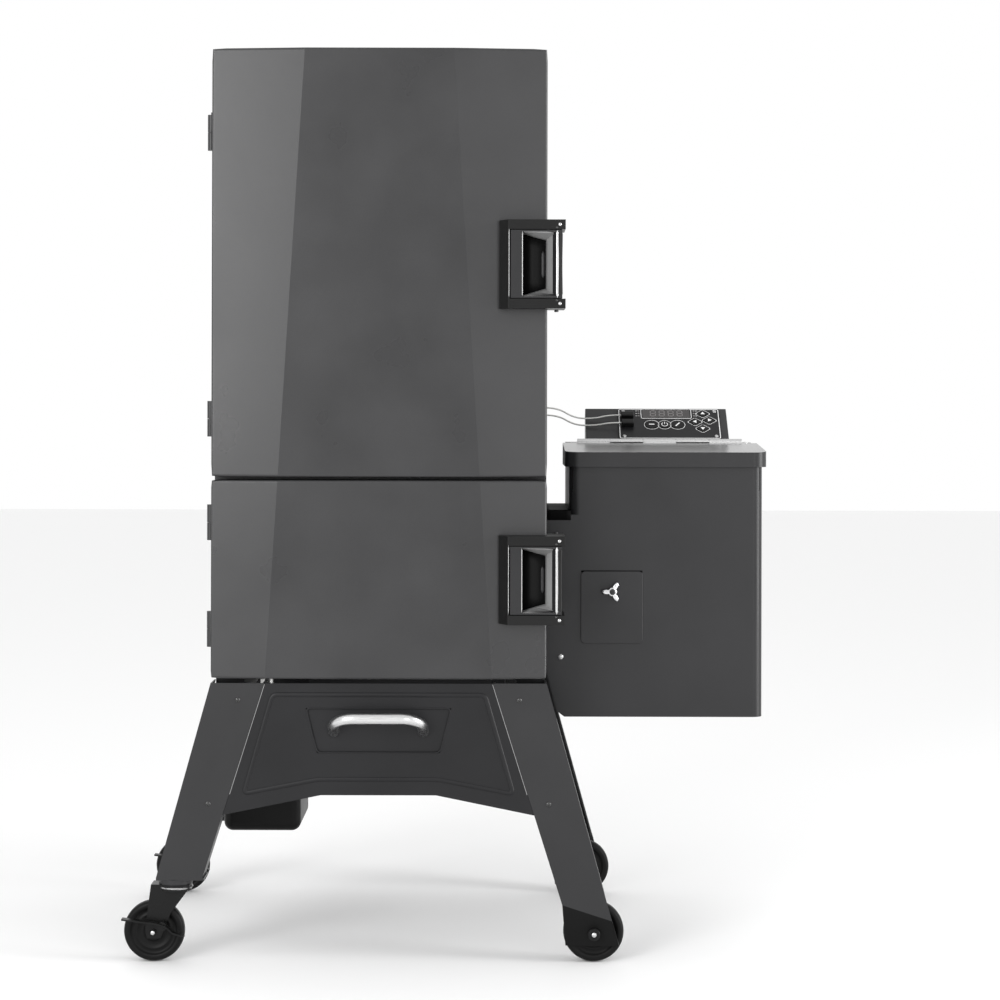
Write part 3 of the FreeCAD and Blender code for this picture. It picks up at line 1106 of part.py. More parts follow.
def make_pull_handle():
    """Bent steel bar whose two feet are screwed to the front panel."""
    lean = math.radians(HANDLE_RISE_ANGLE)
    out = Vector(0, -math.cos(lean), math.sin(lean))
    foot_z = STAND_TOP - HANDLE_DROP
    foot_y = STAND_FACE + POCKET_DEPTH
    r, bend = HANDLE_ROD_RADIUS, HANDLE_BEND
    corner = bend * (1 - math.cos(math.radians(45)))
    left, right = Vector(-HANDLE_HALF, foot_y, foot_z), Vector(HANDLE_HALF, foot_y, foot_z)
    across = Vector(1, 0, 0)
    reach, straight = out * HANDLE_REACH, out * (HANDLE_REACH - bend)
    diagonal = out * (HANDLE_REACH - corner) + across * corner
    far_diagonal = out * (HANDLE_REACH - corner) - across * corner
    bar_left, bar_right = left + reach + across * bend, right + reach - across * bend
    edges = [Part.LineSegment(left, left + straight).toShape(),
             Part.Arc(left + straight, left + diagonal, bar_left).toShape(),
             Part.LineSegment(bar_left, bar_right).toShape(),
             Part.Arc(bar_right, right + far_diagonal, right + straight).toShape(),
             Part.LineSegment(right + straight, right).toShape()]
    section = Part.Wire(Part.makeCircle(r, left, out))
    bar = Part.Wire(edges).makePipeShell([section], True, False)
    bar = bar.cut(block(-200, 200, foot_y, foot_y + 50, foot_z - 50, foot_z + 50))
    ends = []
    for foot in (left, right):
        filler = Part.makeCylinder(r, 12.0, foot - out * 6, out)
        in_front = block(foot.x - 20, foot.x + 20, foot_y - 40, foot_y, foot_z - 40, foot_z + 40)
        ends.append(filler.common(in_front))
    parts["pull_handle"] = fuse([bar] + ends)


# ---------------------------------------------------------------- wheels and casters
def wheel(x, y):
    """Hard rubber wheel with a dished face, a hub and a bore for its axle."""
    half = WHEEL_WIDTH / 2
    r = WHEEL_RADIUS
    near = [(AXLE_RADIUS + SHAFT_CLEARANCE, half), (12.0, half), (15.0, half - 3.5), (r - 11, half - 3.5),
            (r - 8.5, half - 0.5), (r - 3, half - 0.5), (r, half - 4)]
    profile = [(radius, -along) for radius, along in near] + list(reversed(near))
    points = [Vector(radius, along, 0) for radius, along in profile]
    face = Part.Face(Part.makePolygon(points + points[:1]))
    solid = face.revolve(Vector(0, 0, 0), Vector(0, 1, 0), 360)
    solid.translate(Vector(x, y, WHEEL_RADIUS))
    return solid


def make_fixed_wheels():
    bolts = []
    for name, y, outward in (("front_wheel", FIXED_WHEEL_Y, -1),
                             ("rear_wheel", 2 * STAND_MIDDLE_Y - FIXED_WHEEL_Y, 1)):
        parts[name] = wheel(FIXED_WHEEL_X, y)
        reach = FIXED_WHEEL_BACK + 3
        inner = y - outward * (WHEEL_WIDTH / 2 + 8)
        outer = y + outward * reach
        x, z = FIXED_WHEEL_X, WHEEL_RADIUS
        shank = rod((x, inner, z), (x, outer, z), AXLE_RADIUS)
        head = rod((x, outer - outward * 2.5, z), (x, outer + outward * 2, z), 7.5)
        bolts.append(fuse([shank, head]))
    parts["wheel_axles"] = group(bolts)


BRAKE_PIN = (12.5, WHEEL_RADIUS + 9.0)    # from the wheel's middle towards the king pin, and height
BRAKE_PIN_RADIUS = 2.5


def make_caster(name, x, y):
    """Swivel fork with its axle, the wheel it carries, and a foot brake on the fork's outer cheek."""
    top = CASTER_HEIGHT - 9 - MOVING_GAP
    wheel_x = x - CASTER_TRAIL
    cheek_gap = WHEEL_WIDTH / 2 + FORK_GAP
    crown = rod((x, y, top - 8), (x, y, top), CASTER_RACE_RADIUS - 1)
    cheeks = []
    hub = WHEEL_RADIUS
    side_view = [(wheel_x - 3, top), (x + 19, top), (x + 19, top - 4), (wheel_x + 22, hub + 24),
                 (wheel_x + 9, hub - 8), (wheel_x - 8, hub - 8), (wheel_x - 10, hub + 6)]
    for side in (-1, 1):
        y0, y1 = sorted((y + side * cheek_gap, y + side * (cheek_gap + FORK_CHEEK)))
        cheeks.append(prism(side_view, "y", y0, y1))
    bridge = block(wheel_x - 3, x + 19, y - cheek_gap - FORK_CHEEK, y + cheek_gap + FORK_CHEEK, top - 6, top)
    axle = rod((wheel_x, y - cheek_gap - 4.5, hub), (wheel_x, y + cheek_gap + 4.5, hub), AXLE_RADIUS)
    pin_x, pin_z = wheel_x + BRAKE_PIN[0], BRAKE_PIN[1]
    outer = y - cheek_gap - FORK_CHEEK
    brake_pin = rod((pin_x, outer - 12, pin_z), (pin_x, outer + 1, pin_z), BRAKE_PIN_RADIUS)
    socket = [rod((x, y, top - 20), (x, y, top + 1), KING_PIN_RADIUS + SHAFT_CLEARANCE),
              rod((x, y, CASTER_HEIGHT - 23), (x, y, CASTER_HEIGHT - 18), 9.0)]
    parts[name + "_fork"] = fuse([crown] + cheeks + [bridge, axle, brake_pin]).cut(socket)
    parts[name + "_wheel"] = wheel(wheel_x, y)

    # a bent pedal seen edge-on from the front, with an eye round the brake pin
    front, back = outer - 14.0, outer - 2.5 - MOVING_GAP
    left, right, t = wheel_x - 38.0, wheel_x + 40.0, 2.0
    strip = [(left, pin_z + 8), (pin_x - 9, pin_z + 3), (pin_x + 4, pin_z - 0.5), (right - 14, pin_z - 9),
             (right, pin_z - 13.5)]
    upper = [(px, pz + t) for px, pz in strip]
    pedal = prism(strip + list(reversed(upper)), "y", front, back)
    eye = rod((pin_x, outer - 11, pin_z), (pin_x, back, pin_z), 5.5)
    parts[name + "_brake"] = fuse([pedal, eye]).cut(rod((pin_x, front - 1, pin_z), (pin_x, back + 1, pin_z),
                                                        BRAKE_PIN_RADIUS + SHAFT_CLEARANCE))


# ---------------------------------------------------------------- grease bucket
def bucket_form(x0, x1, y0, y1, z0, z1, radius):
    """A deep-drawn form: round upright corners and a round edge about its bottom."""
    form = block(x0, x1, y0, y1, z0, z1)
    edges = [edge for edge in form.Edges if edge.CenterOfMass.z < z1 - 0.1]
    return form.makeFillet(radius, edges)


def make_bucket():
    """Grease bucket that hangs by its rim on two runners and draws out to the left."""
    x0 = -BUCKET_LEFT
    x1 = x0 + BUCKET_LENGTH
    y0, y1 = BUCKET_FRONT, BUCKET_FRONT + BUCKET_WIDTH
    z0, z1 = BUCKET_BOTTOM, BUCKET_BOTTOM + BUCKET_HEIGHT
    t = BUCKET_WALL
    outer = bucket_form(x0, x1, y0, y1, z0, z1, BUCKET_RADIUS)
    inner = bucket_form(x0 + t, x1 - t, y0 + t, y1 - t, z0 + t, z1 + 5, BUCKET_RADIUS - t)
    rim = round_edges(block(x0, x1, y0 - 6, y1 + 6, z1 - t, z1), "z", 4.0)
    parts["grease_bucket"] = fuse([outer, rim]).cut(inner)


def bucket_runners():
    """Two hangers under the cabinet whose lower lips carry the bucket's rim."""
    z1 = BUCKET_BOTTOM + BUCKET_HEIGHT
    x0 = -BUCKET_LEFT
    x1 = x0 + BUCKET_LENGTH
    runners = []
    for y, inward in ((BUCKET_FRONT - 6 - MOVING_GAP, 1), (BUCKET_FRONT + BUCKET_WIDTH + 6 + MOVING_GAP, -1)):
        web_y = sorted((y, y - inward * 1.5))
        web = block(x0, x1, web_y[0], web_y[1], z1 - BUCKET_WALL - 4, CABINET_BOTTOM - RAIL_HEIGHT)
        lip_y = sorted((y - inward * 1.5, y + inward * 5))
        lip_top = z1 - BUCKET_WALL - MOVING_GAP
        lip = block(x0, x1, lip_y[0], lip_y[1], lip_top - 2, lip_top)
        runners.append(fuse([web, lip]))
    return runners


# ---------------------------------------------------------------- build and export
def build():
    make_cabinet()
    make_door("lower_door", LOWER_DOOR_BOTTOM, LOWER_DOOR_TOP)
    make_door("upper_door", UPPER_DOOR_BOTTOM, UPPER_DOOR_TOP)
    parts["cabinet_hinge_halves"] = hinge_halves(UPPER_HINGES + LOWER_HINGES, HINGE_LEAF_REACH, False)
    parts["upper_door_hinge_halves"] = hinge_halves(UPPER_HINGES, -HINGE_LEAF_REACH, True)
    parts["lower_door_hinge_halves"] = hinge_halves(LOWER_HINGES, -HINGE_LEAF_REACH, True)
    make_latch("upper_latch", UPPER_DOOR_BOTTOM, UPPER_DOOR_TOP, UPPER_LATCH_Z)
    make_latch("lower_latch", LOWER_DOOR_BOTTOM, LOWER_DOOR_TOP, LOWER_LATCH_Z)
    make_keepers()
    make_rack_gear()
    make_pans()
    make_burner()
    make_auger()
    make_fan()
    make_hopper()
    make_lid()
    make_access_cover()
    make_controller()
    make_cables()
    make_stand()
    make_pull_handle()
    make_fixed_wheels()
    make_caster("front_caster", -CASTER_X, CASTER_Y)
    make_caster("rear_caster", -CASTER_X - REAR_CASTER_OUTBOARD, 2 * STAND_MIDDLE_Y - CASTER_Y)
    make_bucket()


def footprint_middle():
    """Middle of everything but the loose cables, on the floor."""
    box = FreeCAD.BoundBox()
    for name, shape in parts.items():
        if not name.startswith("probe_cable"):
            box.add(shape.optimalBoundingBox(False, False))
    return Vector(box.Center.x, box.Center.y, box.ZMin)


def export(origin):
    os.makedirs("parts", exist_ok=True)
    for name, shape in sorted(parts.items()):
        shape.translate(origin * -1)
        if not shape.isValid():
            print("not valid:", name)
        shape.exportStep("parts/%s.step" % name)
    print("%d nodes, origin at (%.3f, %.3f, %.3f)" % (len(parts), origin.x, origin.y, origin.z))


build()
origin = footprint_middle()
export(origin)
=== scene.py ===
# Upright electric smoker on a wheeled stand, with a pellet hopper and its controller at the right.
# Lengths inside the sections are millimetres in the cabinet's own frame: X from the cabinet's middle,
# Y back from its front rim, Z up from the floor. at() turns them into the model's metres.
import json
import math

import bmesh
import bpy
import numpy as np
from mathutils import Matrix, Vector

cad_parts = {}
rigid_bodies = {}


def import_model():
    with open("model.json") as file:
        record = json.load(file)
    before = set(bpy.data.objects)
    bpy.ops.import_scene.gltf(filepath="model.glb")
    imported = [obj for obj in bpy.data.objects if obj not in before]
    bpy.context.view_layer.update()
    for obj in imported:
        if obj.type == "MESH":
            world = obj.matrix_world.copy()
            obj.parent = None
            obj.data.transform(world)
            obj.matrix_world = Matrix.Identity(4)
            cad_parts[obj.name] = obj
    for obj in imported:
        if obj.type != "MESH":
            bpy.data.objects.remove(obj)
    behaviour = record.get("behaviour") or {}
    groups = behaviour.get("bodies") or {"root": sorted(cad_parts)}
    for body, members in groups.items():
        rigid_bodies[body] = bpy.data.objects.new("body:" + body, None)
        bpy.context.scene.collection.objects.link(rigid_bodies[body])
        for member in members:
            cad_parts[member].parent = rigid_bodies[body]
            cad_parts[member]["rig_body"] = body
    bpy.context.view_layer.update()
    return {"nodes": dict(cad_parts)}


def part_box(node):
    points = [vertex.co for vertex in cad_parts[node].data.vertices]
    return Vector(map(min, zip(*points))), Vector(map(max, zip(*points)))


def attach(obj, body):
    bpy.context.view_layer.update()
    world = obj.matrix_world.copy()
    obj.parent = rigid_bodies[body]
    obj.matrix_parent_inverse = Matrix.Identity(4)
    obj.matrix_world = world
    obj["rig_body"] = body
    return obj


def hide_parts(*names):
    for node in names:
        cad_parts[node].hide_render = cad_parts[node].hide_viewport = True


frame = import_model()

# ------------------------------------------------------------------ viewpoint
# The smoker is looked at square on from about three metres, with the eye a little above half its height
# and right of the cabinet's middle. The lens is shifted, not tilted, so uprights stay upright.
shell_low, shell_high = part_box("cabinet_shell")
ORIGIN = np.array([(shell_low.x + shell_high.x) / 2, shell_low.y, 0.0])


def at(x, y, z):
    """A place in metres from millimetres in the cabinet's frame: origin + (x, y, z) / 1000."""
    return ORIGIN + np.array([x, y, z], float) / 1000.0


def placed(name, data):
    """An object in the scene that shows the data."""
    made = bpy.data.objects.new(name, data)
    bpy.context.scene.collection.objects.link(made)
    return made


lens = bpy.data.cameras.new("front_view")
lens.lens = 85.2
lens.sensor_width = 36.0
lens.shift_y = -0.1
lens.clip_end = 60.0
eye = placed("front_view", lens)
eye.location = at(151.1, -2998.0, 705.5)
eye.rotation_euler = (math.radians(90.0), math.radians(-0.12), 0.0)
bpy.context.scene.camera = eye


# ------------------------------------------------------------------ probe cables
# Two thin steel-braided leads run from the controller's plugs to a grommet in the cabinet's side.
# The braid is stiff enough to hold a shallow sag over the deck.
def new_group(name, inputs, outputs):
    """An empty shader group with named sockets; inputs are (name, kind, value)."""
    tree = bpy.data.node_groups.new(name, "ShaderNodeTree")
    for label, kind, value in inputs:
        socket = tree.interface.new_socket(label, in_out="INPUT", socket_type=kind)
        if value is not None:
            socket.default_value = value
    for label, kind in outputs:
        tree.interface.new_socket(label, in_out="OUTPUT", socket_type=kind)
    tree.nodes.new("NodeGroupInput").location = (-900, 0)
    tree.nodes.new("NodeGroupOutput").location = (600, 0)
    return tree


def ends(tree):
    """A group's own input and output nodes."""
    source = next(n for n in tree.nodes if n.bl_idname == "NodeGroupInput")
    sink = next(n for n in tree.nodes if n.bl_idname == "NodeGroupOutput")
    return source, sink


def add(tree, kind, **settings):
    """One node with its settings; keys with a leading 'in_' set that input's value."""
    node = tree.nodes.new(kind)
    for key, value in settings.items():
        if key.startswith("in_"):
            node.inputs[int(key[3:]) if key[3:].isdigit() else key[3:]].default_value = value
        else:
            setattr(node, key, value)
    return node


def join(tree, *pairs):
    """Links (output socket, input socket) pairs."""
    for source, target in pairs:
        tree.links.new(source, target)


def base_material(name, color, roughness, metallic=0.0, **extra):
    """A material with one Principled shader; returns it with its tree and shader."""
    material = bpy.data.materials.new(name)
    material.use_nodes = True
    material.diffuse_color = (*color, 1.0)
    tree = material.node_tree
    shader = next(n for n in tree.nodes if n.bl_idname == "ShaderNodeBsdfPrincipled")
    shader.inputs["Base Color"].default_value = (*color, 1.0)
    shader.inputs["Roughness"].default_value = roughness
    shader.inputs["Metallic"].default_value = metallic
    for key, value in extra.items():
        shader.inputs[key.replace("_", " ")].default_value = value
    return material, tree, shader


# Braid: two crossed sets of slanted strands on the cord's own length and turn.
# height = max(sin(a + b), sin(a - b)), where a runs along the cord and b round it.
braid = new_group("braid_weave", [("Vector", "NodeSocketVector", None), ("Along", "NodeSocketFloat", 260.0)],
                  [("Height", "NodeSocketFloat"), ("Shade", "NodeSocketFloat")])
inside, outside = ends(braid)
split = add(braid, "ShaderNodeSeparateXYZ")
along = add(braid, "ShaderNodeMath", operation="MULTIPLY")
round_it = add(braid, "ShaderNodeMath", operation="MULTIPLY", in_1=37.7)
plus, minus = add(braid, "ShaderNodeMath", operation="ADD"), add(braid, "ShaderNodeMath",
                                                                 operation="SUBTRACT")
wave_a, wave_b = add(braid, "ShaderNodeMath", operation="SINE"), add(braid, "ShaderNodeMath",
                                                                     operation="SINE")
crest = add(braid, "ShaderNodeMath", operation="MAXIMUM")
# Shade is 0.45 in the grooves between strands and 1 on the crests: painted shade in the grooves.
shade = add(braid, "ShaderNodeMapRange", in_1=-1.0, in_2=1.0, in_3=0.45, in_4=1.0)
join(braid, (inside.outputs["Vector"], split.inputs[0]), (split.outputs["X"], along.inputs[0]),
     (inside.outputs["Along"], along.inputs[1]), (split.outputs["Y"], round_it.inputs[0]),
     (along.outputs[0], plus.inputs[0]), (round_it.outputs[0], plus.inputs[1]),
     (along.outputs[0], minus.inputs[0]), (round_it.outputs[0], minus.inputs[1]),
     (plus.outputs[0], wave_a.inputs[0]), (minus.outputs[0], wave_b.inputs[0]),
     (wave_a.outputs[0], crest.inputs[0]), (wave_b.outputs[0], crest.inputs[1]),
     (crest.outputs[0], outside.inputs["Height"]), (crest.outputs[0], shade.inputs[0]),
     (shade.outputs[0], outside.inputs["Shade"]))

cable_steel, tree, shader = base_material("cable_steel_braid", (0.62, 0.62, 0.61), 0.34, 0.85)
weave = add(tree, "ShaderNodeGroup", node_tree=braid)
uv = add(tree, "ShaderNodeTexCoord")
# The braid's colour runs darker in the grooves between strands: painted shade.
tint = add(tree, "ShaderNodeMixRGB", in_1=(0.22, 0.22, 0.22, 1), in_2=(0.72, 0.72, 0.70, 1))
relief = add(tree, "ShaderNodeBump", in_Strength=0.5, in_Distance=0.0003)
join(tree, (uv.outputs["UV"], weave.inputs["Vector"]), (weave.outputs["Shade"], tint.inputs[0]),
     (tint.outputs[0], shader.inputs["Base Color"]), (weave.outputs["Height"], relief.inputs["Height"]),
     (relief.outputs[0], shader.inputs["Normal"]))

CABLE_RADIUS = 0.0011
CABLE_ROUTES = {
    "probe_cable_lower": [(316.0, 216.27, 674.91), (300.0, 216.27, 674.91), (278.92, 217.72, 670.91),
                          (252.14, 220.3, 671.71), (230.0, 224.33, 685.0), (213.0, 224.33, 685.0)],
    "probe_cable_upper": [(316.0, 228.53, 685.19), (300.0, 228.53, 685.19), (278.92, 228.37, 680.19),
                          (252.14, 228.1, 681.19), (230.0, 227.67, 695.0), (213.0, 227.67, 695.0)],
}
for name, route in CABLE_ROUTES.items():
    line = bpy.data.curves.new(name + "_braid", "CURVE")
    line.dimensions = "3D"
    line.bevel_depth = CABLE_RADIUS
    line.bevel_resolution = 4
    line.resolution_u = 16
    line.use_fill_caps = True
    spline = line.splines.new("NURBS")
    spline.points.add(len(route) - 1)
    for point, place in zip(spline.points, route):
        point.co = (*at(*place), 1.0)
    spline.order_u = 3
    spline.use_endpoint_u = True
    line.materials.append(cable_steel)
    lead = placed(name + "_braid", line)
    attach(lead, "cabinet")
    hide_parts(name)


# ------------------------------------------------------------------ painted sheet of the cabinet
# Shell, back and stand are folded sheet steel under a baked powder coat, which dries with a fine
# orange peel and a faint sparkle. The folds leave rounded edges.
# Coat: peel = noise at 1.1 mm, fleck = finer noise; height = peel + 0.5 fleck, shade = slow cloud noise.
coat = new_group("powder_coat", [("Vector", "NodeSocketVector", None), ("Peel", "NodeSocketFloat", 900.0)],
                 [("Height", "NodeSocketFloat"), ("Shade", "NodeSocketFloat"), ("Rough", "NodeSocketFloat")])
inside, outside = ends(coat)
peel = add(coat, "ShaderNodeTexNoise", in_Detail=3.0, in_Roughness=0.6)
fleck_scale = add(coat, "ShaderNodeMath", operation="MULTIPLY", in_1=2.7)
fleck = add(coat, "ShaderNodeTexNoise", in_Detail=2.0)
cloud = add(coat, "ShaderNodeTexNoise", in_Scale=9.0, in_Detail=4.0)
half_fleck = add(coat, "ShaderNodeMath", operation="MULTIPLY_ADD", in_1=0.5)
shade = add(coat, "ShaderNodeMapRange", in_1=0.3, in_2=0.7, in_3=0.88, in_4=1.1)
speckle = add(coat, "ShaderNodeMapRange", in_1=0.35, in_2=0.65, in_3=0.85, in_4=1.15)
tone = add(coat, "ShaderNodeMath", operation="MULTIPLY")
rough = add(coat, "ShaderNodeMapRange", in_1=0.3, in_2=0.7, in_3=-0.04, in_4=0.05)
join(coat, (inside.outputs["Vector"], peel.inputs["Vector"]), (inside.outputs["Peel"], peel.inputs["Scale"]),
     (inside.outputs["Peel"], fleck_scale.inputs[0]), (fleck_scale.outputs[0], fleck.inputs["Scale"]),
     (inside.outputs["Vector"], fleck.inputs["Vector"]), (inside.outputs["Vector"], cloud.inputs["Vector"]),
     (fleck.outputs["Fac"], half_fleck.inputs[0]), (peel.outputs["Fac"], half_fleck.inputs[2]),
     (half_fleck.outputs[0], outside.inputs["Height"]), (cloud.outputs["Fac"], shade.inputs[0]),
     (fleck.outputs["Fac"], speckle.inputs[0]), (shade.outputs[0], tone.inputs[0]),
     (speckle.outputs[0], tone.inputs[1]), (tone.outputs[0], outside.inputs["Shade"]),
     (cloud.outputs["Fac"], rough.inputs[0]), (rough.outputs[0], outside.inputs["Rough"]))


def painted(name, color, roughness, peel_size=900.0, relief_depth=0.00012, strength=0.35, **extra):
    """Powder coat: colour times the group's shade, roughness plus its drift, and its height as relief."""
    material, tree, shader = base_material(name, color, roughness, **extra)
    grain = add(tree, "ShaderNodeGroup", node_tree=coat)
    grain.inputs["Peel"].default_value = peel_size
    place = add(tree, "ShaderNodeTexCoord")
    tint = add(tree, "ShaderNodeMixRGB", blend_type="MULTIPLY", in_0=1.0, in_1=(*color, 1.0))
    drift = add(tree, "ShaderNodeMath", operation="ADD", in_1=roughness)
    relief = add(tree, "ShaderNodeBump", in_Strength=strength, in_Distance=relief_depth)
    join(tree, (place.outputs["Object"], grain.inputs["Vector"]), (grain.outputs["Shade"], tint.inputs[2]),
         (tint.outputs[0], shader.inputs["Base Color"]), (grain.outputs["Rough"], drift.inputs[0]),
         (drift.outputs[0], shader.inputs["Roughness"]), (grain.outputs["Height"], relief.inputs["Height"]),
         (relief.outputs[0], shader.inputs["Normal"]))
    return material


cabinet_coat = painted("cabinet_powder_coat", (0.026, 0.026, 0.027), 0.38, Specular_IOR_Level=0.4)
stand_coat = painted("stand_powder_coat", (0.017, 0.017, 0.018), 0.38, Specular_IOR_Level=0.34)
# The foot coat is near-black: painted shade for the shadowed lower foot of the right legs.
foot_shade_coat = painted("foot_painted_shade", (0.006, 0.006, 0.006), 0.55, Specular_IOR_Level=0.1)
panel_coat = painted("panel_powder_coat", (0.010, 0.010, 0.011), 0.38, Specular_IOR_Level=0.24)


def finish_mesh(name, mesh, material, body, smooth_angle=32.0):
    """Puts a mesh in the scene on its body, smooth except at edges sharper than the angle."""
    mesh.materials.clear()
    mesh.materials.append(material)
    mesh.shade_smooth()
    mesh.set_sharp_from_angle(angle=math.radians(smooth_angle))
    made = placed(name, mesh)
    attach(made, body)
    return made


def softened(node, material, radius, segments=2, second=()):
    """The fitted CAD piece again with its folds rounded: merged, flat faces joined, then bevelled.

    second lists (material, test): faces whose middle (mm) and normal pass a test take that material, a second
    finish, painted shade or painted sheen.
    """
    source = frame["nodes"][node]
    work = bmesh.new()
    work.from_mesh(source.data)
    bmesh.ops.remove_doubles(work, verts=work.verts, dist=1e-6)
    bmesh.ops.dissolve_limit(work, angle_limit=math.radians(1.0), verts=work.verts, edges=work.edges)
    mesh = bpy.data.meshes.new(node + "_finished")
    work.to_mesh(mesh)
    work.free()
    made = finish_mesh(node + "_finished", mesh, material, source["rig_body"])
    for number, (other, test) in enumerate(second):
        mesh.materials.append(other)
        for face in mesh.polygons:
            middle = (np.array(source.matrix_world @ face.center) - ORIGIN) * 1000.0
            if test(middle, face.normal):
                face.material_index = number + 1
    bevel = made.modifiers.new("rounded_folds", "BEVEL")
    bevel.width = radius / 1000.0
    bevel.segments = segments
    bevel.limit_method = "ANGLE"
    bevel.angle_limit = math.radians(30.0)
    bevel.use_clamp_overlap = True
    flat = made.modifiers.new("flat_faces", "WEIGHTED_NORMAL")
    flat.keep_sharp = True
    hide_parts(node)
    return made


def dress(node, material):
    """Gives its finish to a CAD node that stays in view."""
    mesh = frame["nodes"][node].data
    mesh.materials.clear()
    mesh.materials.append(material)


for node in ("cabinet_shell", "back_panel"):
    softened(node, cabinet_coat, 1.6)
dress("cabinet_hinge_halves", cabinet_coat)
dress("latch_keepers", cabinet_coat)


# ------------------------------------------------------------------ screws
# Pan-head screws with a cross recess hold the sheet pieces, plated bright or black, with heads of 3 to
# 7 mm. Grain, for them and for every bare metal, is noise on coordinates that may be stretched.
grain_group = new_group("metal_grain", [("Vector", "NodeSocketVector", None),
                                        ("Stretch", "NodeSocketVector", (1.0, 1.0, 1.0)),
                                        ("Scale", "NodeSocketFloat", 120.0), ("Detail", "NodeSocketFloat",
                                                                              4.0)],
                        [("Grain", "NodeSocketFloat")])
inside, outside = ends(grain_group)
drawn, mottle = add(grain_group, "ShaderNodeMapping"), add(grain_group, "ShaderNodeTexNoise")
join(grain_group, (inside.outputs["Vector"], drawn.inputs["Vector"]),
     (inside.outputs["Stretch"], drawn.inputs["Scale"]), (drawn.outputs[0], mottle.inputs["Vector"]),
     (inside.outputs["Scale"], mottle.inputs["Scale"]), (inside.outputs["Detail"], mottle.inputs["Detail"]),
     (mottle.outputs["Fac"], outside.inputs["Grain"]))


def metal(name, color, roughness, scale, stretch, detail, smoother, darker, strength):
    """Bare metal: the grain moves roughness, darkens colour and gives a shallow relief.

    smoother is how far roughness falls at the grain's low end, darker the factor on colour there.
    """
    material, tree, shader = base_material(name, color, roughness, 1.0)
    place = add(tree, "ShaderNodeTexCoord")
    grain = add(tree, "ShaderNodeGroup", node_tree=grain_group, in_Stretch=stretch, in_Scale=scale,
                in_Detail=detail)
    spread = add(tree, "ShaderNodeMapRange", in_1=0.3, in_2=0.7, in_3=roughness - smoother,
                 in_4=roughness + 0.1)
    tint = add(tree, "ShaderNodeMixRGB", in_1=(*[c * darker for c in color], 1), in_2=(*color, 1))
    relief = add(tree, "ShaderNodeBump", in_Strength=strength, in_Distance=0.0001)
    fac = grain.outputs["Grain"]
    join(tree, (place.outputs["Object"], grain.inputs["Vector"]), (fac, spread.inputs[0]),
         (spread.outputs[0], shader.inputs["Roughness"]), (fac, tint.inputs[0]),
         (tint.outputs[0], shader.inputs["Base Color"]), (fac, relief.inputs["Height"]),
         (relief.outputs[0], shader.inputs["Normal"]))
    return material


def zinc_finish(name, color, roughness, scale=700.0):
    """Plated or cast metal, mottled alike in every direction."""
    return metal(name, color, roughness, scale, (1.0, 1.0, 1.0), 4.0, 0.06, 0.8, 0.15)


def brushed(name, color, roughness, stretch, scale=120.0):
    """Rolled or brushed steel, its grain drawn out where the stretch is smallest."""
    return metal(name, color, roughness, scale, stretch, 5.0, 0.08, 0.82, 0.12)


zinc = zinc_finish("zinc_plate", (0.62, 0.62, 0.62), 0.3)
black_zinc = zinc_finish("black_zinc", (0.09, 0.09, 0.09), 0.34)


def frame_on(axis):
    """Rows (u, v, axis): a right-handed set of unit directions with the third along the axis."""
    w = np.array(axis, float) / np.linalg.norm(axis)
    u = np.cross([0.0, 0.0, 1.0] if abs(w[2]) < 0.9 else [0.0, 1.0, 0.0], w)
    u /= np.linalg.norm(u)
    return np.array([u, np.cross(w, u), w])


def grid_faces(rows, columns, wrap):
    """Quads between neighbouring points of a rows by columns grid, closed round the columns if wrap."""
    last = columns if wrap else columns - 1
    i, j = np.meshgrid(np.arange(rows - 1), np.arange(last), indexing="ij")
    k = (j + 1) % columns
    return np.stack([i * columns + j, i * columns + k, (i + 1) * columns + k, (i + 1) * columns + j],
                    -1).reshape(-1, 4)


def built(name, points, faces, weld=True, fill_rim=False, facing=None):
    """A mesh from points in metres: near points merged, an open rim filled, its faces turned outward.

    On an open sheet the largest face across the facing direction is made to look that way.
    """
    mesh = bpy.data.meshes.new(name)
    mesh.from_pydata(np.reshape(points, (-1, 3)).tolist(), [], faces)
    work = bmesh.new()
    work.from_mesh(mesh)
    if weld:
        bmesh.ops.remove_doubles(work, verts=work.verts, dist=1e-7)
    if fill_rim:
        bmesh.ops.contextual_create(work, geom=[edge for edge in work.edges if edge.is_boundary])
    bmesh.ops.recalc_face_normals(work, faces=work.faces)
    if facing is not None:
        way = Vector(facing)
        widest = max(work.faces, key=lambda face: face.calc_area() * abs(face.normal.dot(way)))
        if widest.normal.dot(way) < 0:
            bmesh.ops.reverse_faces(work, faces=work.faces)
    work.to_mesh(mesh)
    work.free()
    return mesh


def turned(name, profile, centre, axis, material, body, turns=48, smooth_angle=32.0):
    """A turned piece: point(t, a) = centre + r(t)(cos a u + sin a v) + h(t) axis, from rows of (r, h).

    Profile in millimetres, from the axis at one end round the outside to the axis at the other.
    """
    profile = np.array(profile, float) / 1000.0
    u, v, w = frame_on(axis)
    a = np.linspace(0, 2 * np.pi, turns, endpoint=False)
    ring = np.cos(a)[None, :, None] * u + np.sin(a)[None, :, None] * v
    points = centre + profile[:, 0, None, None] * ring + profile[:, 1, None, None] * w
    mesh = built(name, points, grid_faces(len(profile), turns, True).tolist())
    return finish_mesh(name, mesh, material, body, smooth_angle)


